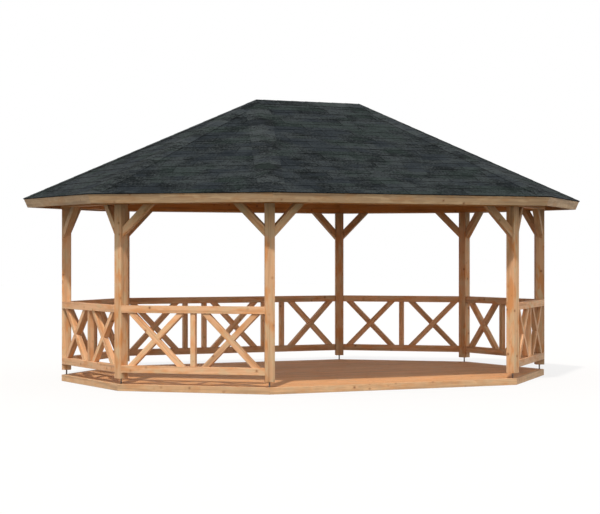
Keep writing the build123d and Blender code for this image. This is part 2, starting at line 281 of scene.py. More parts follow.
class Graph:
    """One node tree, with short calls that add nodes and wire their sockets.

    In a group, taken holds the sockets that it takes and given those that it gives.
    """

    def __init__(self, tree: NodeTree) -> None:
        """Wraps a tree.

        Args:
            tree: The tree.
        """
        self.tree = tree
        self.taken: Sequence[NodeSocket] = ()
        self.given: Sequence[NodeSocket] = ()

    @classmethod
    def cleared(cls, owner: Material | World) -> "Graph":
        """Starts the tree of a material or world afresh.

        Args:
            owner: The material or world.

        Returns:
            The graph of its empty tree.
        """
        owner.use_nodes = True
        owner.node_tree.nodes.clear()
        return cls(owner.node_tree)

    @classmethod
    def group(cls, name: str, kind: str, takes: dict[str, str], gives: dict[str, str]) -> "Graph":
        """Starts a node group.

        Args:
            name: Name of the group.
            kind: Identifier of the tree type.
            takes: Input names with their socket types.
            gives: Output names with their socket types.

        Returns:
            The graph, with its group sockets open as taken and given.
        """
        graph = cls(bpy.data.node_groups.new(name, kind))
        for way, sockets in (("INPUT", takes), ("OUTPUT", gives)):
            for label, socket in sockets.items():
                graph.tree.interface.new_socket(label, in_out=way,
                                                socket_type="NodeSocket" + socket)
        graph.taken = graph.add("NodeGroupInput").outputs
        graph.given = graph.add("NodeGroupOutput").inputs
        return graph

    def wire(self, value: Any, socket: NodeSocket) -> None:
        """Links a socket to an output, or sets it to a constant.

        Args:
            value: The output or the constant.
            socket: The socket that takes it.
        """
        if isinstance(value, NodeSocket):
            self.tree.links.new(value, socket)
        else:
            socket.default_value = value

    def add(self, kind: str, wires: dict[Any, Any] | None = None, **settings: Any) -> Node:
        """Adds a node.

        Args:
            kind: Identifier of the node type.
            wires: Input names or numbers with what each takes.
            **settings: Properties of the node, set before its inputs.

        Returns:
            The node.
        """
        node = self.tree.nodes.new(kind)
        for name, value in settings.items():
            setattr(node, name, value)
        for name, value in (wires or {}).items():
            self.wire(value, node.inputs[name])
        return node

    def math(self, operation: str, *values: Any) -> NodeSocket:
        """Value of a sum on numbers."""
        return self.add("ShaderNodeMath", dict(enumerate(values)), operation=operation).outputs[0]

    def vector(self, operation: str, *values: Any) -> NodeSocket:
        """Vector of a sum on vectors, or its length."""
        node = self.add("ShaderNodeVectorMath", dict(enumerate(values)), operation=operation)
        return node.outputs[1 if operation == "LENGTH" else 0]

    def xyz(self, x: Any = 0.0, y: Any = 0.0, z: Any = 0.0) -> NodeSocket:
        """Vector from three numbers."""
        return self.add("ShaderNodeCombineXYZ", {0: x, 1: y, 2: z}).outputs[0]

    def split(self, vector: NodeSocket) -> Sequence[NodeSocket]:
        """The three numbers of a vector or colour."""
        return self.add("ShaderNodeSeparateXYZ", {0: vector}).outputs

    def blend(self, factor: Any, first: Any, second: Any) -> NodeSocket:
        """Colour between two colours.

        Args:
            factor: Share of the second colour.
            first: Colour at 0, an output or a constant.
            second: Colour at 1, an output or a constant.

        Returns:
            The colour.
        """
        wires = {FACTOR: factor}
        for number, colour in ((FIRST, first), (SECOND, second)):
            wires[number] = (*colour, 1.0) if isinstance(colour, tuple) else colour
        return self.add("ShaderNodeMix", wires, data_type="RGBA").outputs[2]

    def lay(self, body: NodeSocket, *layers: tuple[NodeSocket, float, Colour]) -> NodeSocket:
        """Lays colours over a colour, one after another.

        Args:
            body: The colour below.
            *layers: Mask, strength and colour of each layer.

        Returns:
            The colour.
        """
        for mask, strength, colour in layers:
            body = self.blend(self.math("MULTIPLY", mask, strength), body, colour)
        return body

    def noise(self, vector: NodeSocket, scale: float | Triple, detail: float = 2.0) -> NodeSocket:
        """Noise between 0 and 1.

        Args:
            vector: Place that it is read at.
            scale: How often it varies in a metre, on every axis or on each.
            detail: How many finer layers it has.

        Returns:
            The noise.
        """
        stretch = scale if isinstance(scale, tuple) else (scale,) * 3
        wires = {"Vector": self.vector("MULTIPLY", vector, stretch), "Scale": 1.0, "Detail": detail}
        return self.add("ShaderNodeTexNoise", wires).outputs[0]

    def ramp(self, value: NodeSocket, low: Any, high: Any) -> NodeSocket:
        """Smooth step of a value from 0 at low to 1 at high."""
        wires = {0: value, 1: low, 2: high}
        return self.add("ShaderNodeMapRange", wires, interpolation_type="SMOOTHSTEP").outputs[0]

    def fade(self, value: NodeSocket, low: Any, high: Any) -> NodeSocket:
        """Smooth step of a value from 1 at low to 0 at high."""
        return self.math("SUBTRACT", 1.0, self.ramp(value, low, high))

    def attribute(self, name: str, output: str) -> NodeSocket:
        """Named attribute of the surface."""
        return self.add("ShaderNodeAttribute", attribute_name=name).outputs[output]

    def place_group(self, group: NodeTree, wires: dict[str, Any]) -> Node:
        """Places a node group.

        Args:
            group: The group's tree.
            wires: Input names with what each takes.

        Returns:
            The group's node.
        """
        node = self.tree.nodes.new("ShaderNodeGroup")
        node.node_tree = group
        for name, value in wires.items():
            self.wire(value, node.inputs[name])
        return node


def shader(name: str) -> tuple[Material, Graph, Node]:
    """Starts a material.

    Args:
        name: Name of the material.

    Returns:
        The material, its graph and its Principled BSDF.
    """
    made = bpy.data.materials.new(name)
    graph = Graph.cleared(made)
    surface = graph.add("ShaderNodeBsdfPrincipled")
    graph.add("ShaderNodeOutputMaterial", {"Surface": surface.outputs[0]})
    return made, graph, surface


def shaded(colour: Colour, share: float) -> Colour:
    """Colour made darker or lighter."""
    return tuple(share * value for value in colour)


@dataclass(frozen=True)
class Figure:
    """Growth rings, fibres, streaks, patches and knots of a timber, along its own grain.

    Scales say how often a pattern varies in a metre, along the grain and across it both ways.

    Attributes:
        turns: How fast a timber's place in its log turns as its tone changes.
        log_reach: How far that place moves along the log and across it.
        knot_cells: Cells in a metre, each with a knot or none.
        knot_share: Step in a cell's own number above which it has a knot.
        eye: Step at which a knot ends, in knot sizes.
        halo: Reach of the dark wood round a knot, in knot sizes.
        swirl: How far the rings bend aside at a knot.
        swirl_fall: How fast that bend dies away from the knot.
        wander: Scale of the rings' wander.
        wander_wide: Width of that wander.
        ring_edge: How narrow the dark part of a ring is.
        fibre: Scale of the fibres.
        streak: Scale of the streaks.
        warm: Scale of the resinous patches.
        warm_step: Step that marks them.
        pale: Scale of the bleached patches.
        pale_step: Step that marks them.
        pale_shift: How far they are moved, so that they differ from the resinous ones.
        fine: Finer layers in fibres and streaks.
        finest: Finer layers in patches.
    """

    turns: Triple = (31.0, 47.0, 59.0)
    log_reach: Triple = (9.0, 0.07, 0.05)
    knot_cells: float = 9.0
    knot_share: Step = (0.5, 0.55)
    eye: Step = (0.6, 1.3)
    halo: float = 2.6
    swirl: float = 0.012
    swirl_fall: float = 7.0
    wander: Triple = (1.1, 7.0, 7.0)
    wander_wide: float = 0.035
    ring_edge: float = 2.2
    fibre: Triple = (4.0, 240.0, 240.0)
    streak: Triple = (0.9, 26.0, 26.0)
    warm: Triple = (3.6, 12.0, 12.0)
    warm_step: Step = (0.47, 0.62)
    pale: Triple = (4.8, 15.0, 15.0)
    pale_step: Step = (0.48, 0.64)
    pale_shift: Triple = (5.3, 2.9, 7.1)
    fine: float = 3.0
    finest: float = 4.0

    def group(self) -> NodeTree:
        """Builds the shader group.

        Returns:
            The group's tree.
        """
        gives = ("Rings", "Fibre", "Streak", "Warm", "Pale", "Knot", "Halo")
        takes = {"Grain": "Vector", "Tone": "Float", "Ring Width": "Float", "Knot Size": "Float"}
        g = Graph.group("timber_figure", "ShaderNodeTree", takes, dict.fromkeys(gives, "Float"))
        tone = g.taken["Tone"]
        size = g.taken["Knot Size"]
        spin = g.vector("SINE", g.vector("MULTIPLY", g.xyz(tone, tone, tone), self.turns))
        place = g.vector("MULTIPLY_ADD", spin, self.log_reach, g.taken["Grain"])
        wires = {"Vector": place, "Scale": self.knot_cells}
        cells = g.add("ShaderNodeTexVoronoi", wires).outputs
        away = cells["Distance"]
        chosen = g.ramp(g.split(cells["Color"])[0], *self.knot_share)
        eye = g.fade(away, *[g.math("MULTIPLY", size, end) for end in self.eye])
        halo = g.fade(away, size, g.math("MULTIPLY", size, self.halo))
        near = g.math("EXPONENT", g.math("MULTIPLY", away, -self.swirl_fall))
        swirl = g.math("MULTIPLY", near, self.swirl)
        wander = g.math("MULTIPLY", g.noise(place, self.wander), self.wander_wide)
        radius = g.vector("LENGTH", g.vector("MULTIPLY", place, (0.0, 1.0, 1.0)))
        path = g.math("ADD", g.math("ADD", radius, wander), g.math("MULTIPLY", swirl, chosen))
        turn = g.math("MULTIPLY", g.math("DIVIDE", path, g.taken["Ring Width"]), math.tau)
        wave = g.math("MULTIPLY_ADD", g.math("SINE", turn), 0.5, 0.5)
        shifted = g.vector("ADD", place, self.pale_shift)
        made = {"Rings": g.math("POWER", wave, self.ring_edge),
                "Fibre": g.noise(place, self.fibre, self.fine),
                "Streak": g.noise(place, self.streak, self.fine),
                "Warm": g.ramp(g.noise(place, self.warm, self.finest), *self.warm_step),
                "Pale": g.ramp(g.noise(shifted, self.pale, self.finest), *self.pale_step),
                "Knot": g.math("MULTIPLY", eye, chosen),
                "Halo": g.math("MULTIPLY", halo, chosen)}
        for name in gives:
            g.wire(made[name], g.given[name])
        return g.tree


@dataclass(frozen=True)
class Weather:
    """Patchy ageing, dust that gathers low down, and painted shade under the eaves.

    Attributes:
        patch_step: Step that marks the aged patches.
        dust: Scale of the dust's clouds.
        eave_shade: Scale of the clouds of painted shade under the eaves.
        eave_shade_height: Heights between which the painted shade under the eaves sets in.
        fine: Finer layers in all three.
    """

    patch_step: Step = (0.3, 0.7)
    dust: float = 14.0
    eave_shade: float = 5.0
    eave_shade_height: Step = (1.75, 2.2)
    fine: float = 4.0

    def group(self) -> NodeTree:
        """Builds the shader group.

        Returns:
            The group's tree.
        """
        g = Graph.group("weather", "ShaderNodeTree",
                        {"Patch Size": "Float", "Splash Height": "Float"},
                        {"Patches": "Float", "Dust": "Float", "Eave Shade": "Float"})
        place = g.add("ShaderNodeTexCoord").outputs["Object"]
        size = g.taken["Patch Size"]
        patches = g.noise(g.vector("DIVIDE", place, g.xyz(size, size, size)), 1.0, self.fine)
        height = g.split(place)["Z"]
        low = g.fade(height, 0.0, g.taken["Splash Height"])
        high = g.ramp(height, *self.eave_shade_height)
        g.wire(g.ramp(patches, *self.patch_step), g.given["Patches"])
        g.wire(g.math("MULTIPLY", low, g.noise(place, self.dust, self.fine)), g.given["Dust"])
        # Painted shade: a darkening that grows towards the top of a timber, under the eaves where
        # their shade falls, drawn in clouds.
        g.wire(g.math("MULTIPLY", high, g.noise(place, self.eave_shade, self.fine)), g.given["Eave Shade"])
        return g.tree


# ---------------------------------------------------------------- finishes

@dataclass(frozen=True)
class TimberFinish:
    """Planed softwood: growth rings, fibres, streaks and knots along each timber.

    Attributes:
        name: Name of the material.
        early: Colour of the pale wood between the rings.
        late: Colour of the rings.
        warm: Colour of the resinous patches.
        pale: Colour of the bleached patches.
        knot: Colour of the knots.
        dust: Colour of dust.
        eave_shade: Olive-brown colour of the painted shade under the eaves.
        ring_width: Distance between growth rings.
        knot_size: Radius of the knots, in cells of the figure.
        patch_size: Size of the aged patches.
        splash: Height that dust reaches.
        spread: How far timbers differ in lightness.
        ringed: How strongly the rings show.
        patchy: How strongly the resinous and bleached patches show.
        streaked: How strongly the streaks show.
        streak_step: Step that marks them.
        fibrous: How strongly the fibres show.
        fibre_step: Step that marks them.
        deep: Lightness of streaks and fibres against the rings.
        haloed: How strongly the wood darkens round a knot.
        halo_shade: Lightness of that wood against the resinous patches.
        knotted: How strongly the knots show.
        aged: How strongly the aged patches show.
        aged_shade: Lightness of those against the pale wood.
        dusty: How strongly dust shows near the ground.
        mossy: How strongly the painted shade under the eaves shows.
        roughness: Mean roughness of the surface.
        rough_spread: How far fibres change it.
        specular: Strength of its reflection.
        relief: Height of the fibres.
        ring_relief: Height of the rings against the fibres.
        bump: Strength of both.
    """

    name: str
    early: Colour
    late: Colour
    warm: Colour = (0.60, 0.25, 0.075)
    pale: Colour = (0.60, 0.44, 0.26)
    knot: Colour = (0.19, 0.072, 0.028)
    dust: Colour = (0.33, 0.24, 0.16)
    # olive-brown painted shade under the eaves
    eave_shade: Colour = (0.255, 0.225, 0.105)
    ring_width: float = 0.0065
    knot_size: float = 0.105
    patch_size: float = 0.55
    splash: float = 0.5
    spread: float = 0.08
    ringed: float = 0.5
    patchy: float = 0.5
    streaked: float = 0.6
    streak_step: Step = (0.46, 0.74)
    fibrous: float = 0.25
    fibre_step: Step = (0.45, 0.8)
    deep: float = 0.55
    haloed: float = 0.5
    halo_shade: float = 0.6
    knotted: float = 0.88
    aged: float = 0.15
    aged_shade: float = 1.1
    dusty: float = 0.35
    mossy: float = 0.0
    roughness: float = 0.66
    rough_spread: float = 0.3
    specular: float = 0.3
    relief: float = 0.0007
    ring_relief: float = 0.5
    bump: float = 0.6

    def material(self, figure: NodeTree, weather: NodeTree) -> Material:
        """Builds the material.

        Args:
            figure: Group that draws the wood's figure.
            weather: Group that draws ageing and dust.

        Returns:
            The material.
        """
        made, g, surface = shader(self.name)
        tone = g.attribute("tone", "Fac")
        wires = {"Grain": g.attribute("grain", "Vector"), "Tone": tone,
                 "Ring Width": self.ring_width, "Knot Size": self.knot_size}
        wood = g.place_group(figure, wires).outputs
        wires = {"Patch Size": self.patch_size, "Splash Height": self.splash}
        age = g.place_group(weather, wires).outputs
        deep = shaded(self.late, self.deep)
        body = g.blend(g.math("MULTIPLY", wood["Rings"], self.ringed), self.early, self.late)
        body = g.lay(body,
                     (wood["Warm"], self.patchy, self.warm),
                     (wood["Pale"], self.patchy, self.pale),
                     (g.ramp(wood["Streak"], *self.streak_step), self.streaked, deep),
                     (g.ramp(wood["Fibre"], *self.fibre_step), self.fibrous, deep),
                     (wood["Halo"], self.haloed, shaded(self.warm, self.halo_shade)),
                     (wood["Knot"], self.knotted, self.knot),
                     (age["Patches"], self.aged, shaded(self.early, self.aged_shade)),
                     (age["Dust"], self.dusty, self.dust),
                     # painted shade under the eaves, darker towards the top
                     (age["Eave Shade"], self.mossy, self.eave_shade))
        value = g.math("MULTIPLY_ADD", tone, self.spread, 1.0)
        toned = g.add("ShaderNodeHueSaturation", {"Color": body, "Value": value})
        g.wire(toned.outputs[0], surface.inputs["Base Color"])
        smooth = self.roughness - self.rough_spread / 2
        rough = g.math("MULTIPLY_ADD", wood["Fibre"], self.rough_spread, smooth)
        g.wire(rough, surface.inputs["Roughness"])
        surface.inputs["Specular IOR Level"].default_value = self.specular
        height = g.math("MULTIPLY_ADD", wood["Rings"], self.ring_relief, wood["Fibre"])
        wires = {"Height": height, "Distance": self.relief, "Strength": self.bump}
        g.wire(g.add("ShaderNodeBump", wires).outputs[0], surface.inputs["Normal"])
        return made


@dataclass(frozen=True)
class ShingleFinish:
    """Mineral-surfaced roofing felt: granules, and tabs that differ in shade.

    Attributes:
        name: Name of the material.
        dark: Colour of the darkest tabs.
        light: Colour of the lightest tabs.
        cool: Tint of the bluish tabs.
        green: Tint of the greenish tabs.
        bitumen_and_shade: Colour of faces that don't look up: the asphalt of cut edges, and painted
            shade in the steps between courses and under the overhang.
        edge_shade_step: How far a face looks up, over which it changes from that near-black colour
            to the tabs' colour.
        patch_size: Size of the aged patches.
        splash: Height that dust reaches.
        course_rise: Height from one course to the next.
        course_shift: How far a course's pattern is moved against the one below.
        granule: Size of a granule.
        mottle: Scale of the mottling.
        streak: Scale of the streaks along a course.
        streak_fine: Finer layers in the streaks.
        drift: Scale of the drift along a course.
        hue: Scale of the change between bluish and greenish.
        hue_fine: Finer layers in that change.
        spread: How far tabs differ in lightness.
        mottled: How far the mottling changes the shade.
        streaked: How far the streaks change it.
        specked: How far single granules change it.
        drifting: How far the drift changes it.
        aged: How far the aged patches change it.
        cool_step: Step in the hue that marks bluish tabs.
        cool_share: How strongly they show.
        green_step: Step in the hue that marks greenish tabs.
        green_share: How strongly they show.
        roughness: Roughness of the surface.
        specular: Strength of its reflection.
        relief: Height of the mottling.
        speck_relief: Height of the granules against it.
        bump: Strength of both.
    """

    name: str
    dark: Colour
    light: Colour
    cool: Colour
    green: Colour
    bitumen_and_shade: Colour = (0.006, 0.0055, 0.005)
    edge_shade_step: Step = (0.4, 0.7)
    patch_size: float = 0.4
    splash: float = 0.05
    course_rise: float = 0.0845
    course_shift: float = 5.7
    granule: float = 0.0035
    mottle: float = 42.0
    streak: Triple = (7.0, 7.0, 130.0)
    streak_fine: float = 4.0
    drift: Triple = (2.3, 2.3, 1.0)
    hue: float = 1.7
    hue_fine: float = 3.0
    spread: float = 0.2
    mottled: float = 2.2
    streaked: float = 1.8
    specked: float = 0.4
    drifting: float = 1.5
    aged: float = 0.2
    cool_step: Step = (0.5, 0.62)
    cool_share: float = 0.55
    green_step: Step = (0.38, 0.5)
    green_share: float = 0.35
    roughness: float = 0.95
    specular: float = 0.05
    relief: float = 0.0015
    speck_relief: float = 0.4
    bump: float = 0.5

    def material(self, weather: NodeTree) -> Material:
        """Builds the material.

        Args:
            weather: Group that draws ageing and dust.

        Returns:
            The material.
        """
        made, g, surface = shader(self.name)
        tone = g.attribute("tone", "Fac")
        place = g.add("ShaderNodeTexCoord").outputs["Object"]
        wires = {"Patch Size": self.patch_size, "Splash Height": self.splash}
        age = g.place_group(weather, wires).outputs
        wires = {"Vector": place, "Scale": 1 / self.granule}
        speck = g.split(g.add("ShaderNodeTexVoronoi", wires).outputs["Color"])
        mottle = g.noise(place, self.mottle)
        streak = g.noise(place, self.streak, self.streak_fine)
        spot = g.split(place)
        course = g.math("FLOOR", g.math("DIVIDE", spot[2], self.course_rise))
        run = g.xyz(spot[0], spot[1], g.math("MULTIPLY", course, self.course_shift))
        drift = g.noise(run, self.drift)
        hue = g.noise(run, self.hue, self.hue_fine)
        shade = g.math("MULTIPLY_ADD", tone, self.spread, 0.5)
        for source, weight in ((mottle, self.mottled), (streak, self.streaked),
                               (speck[0], self.specked), (drift, self.drifting),
                               (age["Patches"], self.aged)):
            shade = g.math("MULTIPLY_ADD", g.math("SUBTRACT", source, 0.5), weight, shade)
        body = g.lay(g.blend(g.ramp(shade, 0.0, 1.0), self.dark, self.light),
                     (g.ramp(hue, *self.cool_step), self.cool_share, self.cool),
                     (g.fade(hue, *self.green_step), self.green_share, self.green))
        # Painted shade in part: every face that doesn't look up turns near black. This covers the
        # tabs' lower edges, the slots between tabs, the caps' edges and the shingles' edge over the
        # fascia. It stands for the asphalt of cut edges and for the shade in those steps and under
        # the overhang.
        edge = g.fade(g.attribute("facing", "Fac"), *self.edge_shade_step)
        g.wire(g.blend(edge, body, self.bitumen_and_shade), surface.inputs["Base Color"])
        surface.inputs["Roughness"].default_value = self.roughness
        surface.inputs["Specular IOR Level"].default_value = self.specular
        height = g.math("MULTIPLY_ADD", speck[1], self.speck_relief, mottle)
        wires = {"Height": height, "Distance": self.relief, "Strength": self.bump}
        g.wire(g.add("ShaderNodeBump", wires).outputs[0], surface.inputs["Normal"])
        return made


@dataclass(frozen=True)
class SteelFinish:
    """Galvanised steel, dulled outdoors.

    Attributes:
        name: Name of the material.
        bright: Colour of the clean zinc.
        dull: Colour where it has weathered.
        dust: Colour of dust.
        dusty: How strongly dust shows near the ground.
        patch_size: Size of the weathered patches.
        splash: Height that dust reaches.
        spangle: Size of the zinc's crystals.
        spangled: How far single crystals are duller.
        metallic: How metallic the zinc is.
        roughness: Mean roughness.
        rough_spread: How far the crystals change it.
    """

    name: str
    bright: Colour
    dull: Colour
    dust: Colour = (0.30, 0.24, 0.18)
    dusty: float = 0.6
    patch_size: float = 0.05
    splash: float = 0.3
    spangle: float = 0.006
    spangled: float = 0.4
    metallic: float = 0.85
    roughness: float = 0.42
    rough_spread: float = 0.2

    def material(self, weather: NodeTree) -> Material:
        """Builds the material.

        Args:
            weather: Group that draws ageing and dust.

        Returns:
            The material.
        """
        made, g, surface = shader(self.name)
        place = g.add("ShaderNodeTexCoord").outputs["Object"]
        wires = {"Patch Size": self.patch_size, "Splash Height": self.splash}
        age = g.place_group(weather, wires).outputs
        wires = {"Vector": place, "Scale": 1 / self.spangle}
        crystal = g.split(g.add("ShaderNodeTexVoronoi", wires).outputs["Color"])[0]
        worn = g.math("MULTIPLY_ADD", crystal, self.spangled, age["Patches"])
        body = g.lay(g.blend(worn, self.bright, self.dull), (age["Dust"], self.dusty, self.dust))
        g.wire(body, surface.inputs["Base Color"])
        surface.inputs["Metallic"].default_value = self.metallic
        smooth = self.roughness - self.rough_spread / 2
        rough = g.math("MULTIPLY_ADD", crystal, self.rough_spread, smooth)
        g.wire(rough, surface.inputs["Roughness"])
        return made


@dataclass
class Finishes:
    """All the finishes of the gazebo, with the groups that they share.

    Attributes:
        figure: Group that draws the wood's figure.
        weather: Group that draws ageing and dust.
    """

    figure: NodeTree = field(default_factory=Figure().group)
    weather: NodeTree = field(default_factory=Weather().group)

    def timber(self, name: str, early: Colour, late: Colour, **options: Any) -> Material:
        """Builds a timber's material from its name, its two colours and what differs."""
        return TimberFinish(name, early, late, **options).material(self.figure, self.weather)

    def __post_init__(self) -> None:
        """Builds each material once."""
        self.deck = self.timber("deck_timber", (0.76, 0.387, 0.163), (0.56, 0.25, 0.093),
                                dusty=0.12)
        self.edging = self.timber("edging_timber", (0.73, 0.445, 0.235), (0.46, 0.25, 0.12),
                                  dusty=0.5)
        # The posts and knee braces carry painted shade under the eaves, which darkens their upper
        # parts.
        self.posts = self.timber("frame_timber", (0.67, 0.405, 0.225), (0.50, 0.27, 0.13),
                                 spread=0.13, patchy=0.85, mossy=0.85)
        self.rails = self.timber("railing_timber", (0.73, 0.43, 0.24), (0.53, 0.275, 0.135),
                                 spread=0.14, patchy=0.65)
        # The timber under the roof is darker and more saturated than the frame's. This is partly
        # its own colour and partly painted shade for the shade under the roof.
        self.roof = self.timber("roof_timber", (0.545, 0.262, 0.068), (0.39, 0.16, 0.034),
                                patchy=0.15)
        self.eaves = self.timber("eaves_timber", (0.465, 0.32, 0.185), (0.325, 0.205, 0.11),
                                 warm=(0.42, 0.22, 0.09), patchy=0.55)
        shingle = ShingleFinish("shingle", dark=(0.004, 0.006, 0.007), light=(0.035, 0.043, 0.047),
                                cool=(0.017, 0.023, 0.030), green=(0.020, 0.033, 0.029))
        capping = ShingleFinish("capping", dark=(0.006, 0.008, 0.009), light=(0.043, 0.052, 0.056),
                                cool=(0.022, 0.028, 0.035), green=(0.025, 0.038, 0.034),
                                spread=0.36)
        steel = SteelFinish("rod_steel", bright=(0.56, 0.55, 0.53), dull=(0.30, 0.28, 0.26))
        self.shingle = shingle.material(self.weather)
        self.capping = capping.material(self.weather)
        self.steel = steel.material(self.weather)


# ---------------------------------------------------------------- solids

def cut(solid: Solid, point: Vector, normal: Vector) -> None:
    """Removes what lies beyond a plane and closes the cut.

    Args:
        solid: One or more closed solids.
        point: Point on the plane.
        normal: Direction of what goes.
    """
    parts = solid.verts[:] + solid.edges[:] + solid.faces[:]
    made = bmesh.ops.bisect_plane(solid, geom=parts, plane_co=point, plane_no=normal,
                                  dist=CUT_DISTANCE, clear_outer=True)
    rim = [part for part in made["geom_cut"] if isinstance(part, Edge)]
    bmesh.ops.holes_fill(solid, edges=rim, sides=0)


def prism(first: Sequence[Vector], second: Sequence[Vector]) -> Solid:
    """Solid between two matching outlines.

    Args:
        first: Corners of one end.
        second: Corners of the other end, in the same order.

    Returns:
        The solid, with its faces pointing outwards.
    """
    solid = bmesh.new()
    rings = [[solid.verts.new(point) for point in ring] for ring in (first, second)]
    count = len(first)
    for ring in rings:
        solid.faces.new(ring)
    for i in range(count):
        j = (i + 1) % count
        solid.faces.new((rings[0][i], rings[0][j], rings[1][j], rings[1][i]))
    bmesh.ops.recalc_face_normals(solid, faces=solid.faces)
    return solid


def upright(outline: Sequence[tuple[float, float]], heights: tuple[float, float]) -> Solid:
    """Solid over an outline on the ground, between two heights."""
    return prism(*[[Vector((x, y, z)) for x, y in outline] for z in heights])


def block(low: Sequence[float], high: Sequence[float]) -> Solid:
    """Upright box between two corners."""
    xs, ys, zs = zip(low, high)
    return upright([(xs[0], ys[0]), (xs[1], ys[0]), (xs[1], ys[1]), (xs[0], ys[1])], zs)


def direction(edge: Edge) -> Vector:
    """Direction of an edge."""
    return (edge.verts[1].co - edge.verts[0].co).normalized()


def runs_along(edge: Edge, way: Vector) -> bool:
    """Whether an edge runs in a direction, or straight against it."""
    return abs(direction(edge).dot(way)) > STRAIGHT


def longest(solid: Solid) -> Vector:
    """Direction of a solid's longest edge, which is the way its grain runs."""
    return direction(max(solid.edges, key=lambda edge: round(edge.calc_length(), LENGTH_DIGITS)))


def ease(solid: Solid, arris: float, steps: int = 1,
         keep: Callable[[Edge], bool] | None = None) -> None:
    """Takes the sharp arrises off a solid.

    Args:
        solid: The solid.
        arris: Width taken off.
        steps: Facets across the arris.
        keep: Test that an edge has to pass, or None for every sharp edge.
    """
    solid.normal_update()
    edges = [edge for edge in solid.edges if len(edge.link_faces) == 2
             and edge.calc_face_angle(0) > SHARP and (keep is None or keep(edge))]
    bmesh.ops.bevel(solid, geom=edges, offset=arris, offset_type="OFFSET", segments=steps,
                    profile=0.5, affect="EDGES", clamp_overlap=True)


def turned(profile: Sequence[tuple[float, float]], sides: int) -> Solid:
    """Turned solid about the Z axis.

    Args:
        profile: Radius and height of each ring from bottom to top.
        sides: Facets round the axis.

    Returns:
        The solid.
    """
    solid = bmesh.new()
    angles = [i * math.tau / sides for i in range(sides)]
    rings = [[solid.verts.new((radius * math.cos(angle), radius * math.sin(angle), height))
              for angle in angles] for radius, height in profile]
    for lower, upper in zip(rings, rings[1:]):
        for i in range(sides):
            j = (i + 1) % sides
            solid.faces.new((lower[i], lower[j], upper[j], upper[i]))
    solid.faces.new(rings[0][::-1])
    solid.faces.new(rings[-1])
    bmesh.ops.recalc_face_normals(solid, faces=solid.faces)
    return solid


def connected(starts: Iterable[Any], beside: Callable[[Any], Iterable[Any]]) -> set[Any]:
    """Everything that can be reached from some corners or faces.

    Args:
        starts: The corners or faces.
        beside: Gives the neighbours of one.

    Returns:
        All that is reached, with the starts.
    """
    found = set(starts)
    waiting = list(found)
    while waiting:
        for item in beside(waiting.pop()):
            if item not in found:
                found.add(item)
                waiting.append(item)
    return found


def cad_solids(node: str) -> list[Solid]:
    """Merged copies of the solids of a CAD node.

    Args:
        node: Name of the node.

    Returns:
        One mesh for each solid.
    """
    whole = bmesh.new()
    whole.from_mesh(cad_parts[node].data)
    bmesh.ops.remove_doubles(whole, verts=whole.verts, dist=MERGE)
    bmesh.ops.dissolve_limit(whole, angle_limit=FLAT, verts=whole.verts, edges=whole.edges)
    left = set(whole.verts)
    solids = []
    while left:
        start = min(left, key=lambda vert: vert.index)
        found = connected([start], lambda vert: [edge.other_vert(vert) for edge in vert.link_edges])
        left -= found
        solid = bmesh.new()
        copies = {vert: solid.verts.new(vert.co)
                  for vert in sorted(found, key=lambda vert: vert.index)}
        for face in whole.faces:
            if face.verts[0] in found:
                solid.faces.new([copies[vert] for vert in face.verts])
        solids.append(solid)
    whole.free()
    return solids


def placed(name: str, data: Any) -> Object:
    """Adds an object to the scene, at the origin.

    Args:
        name: Its name.
        data: Its mesh, camera or lamp.

    Returns:
        The object.
    """
    made = bpy.data.objects.new(name, data)
    bpy.context.scene.collection.objects.link(made)
    return made


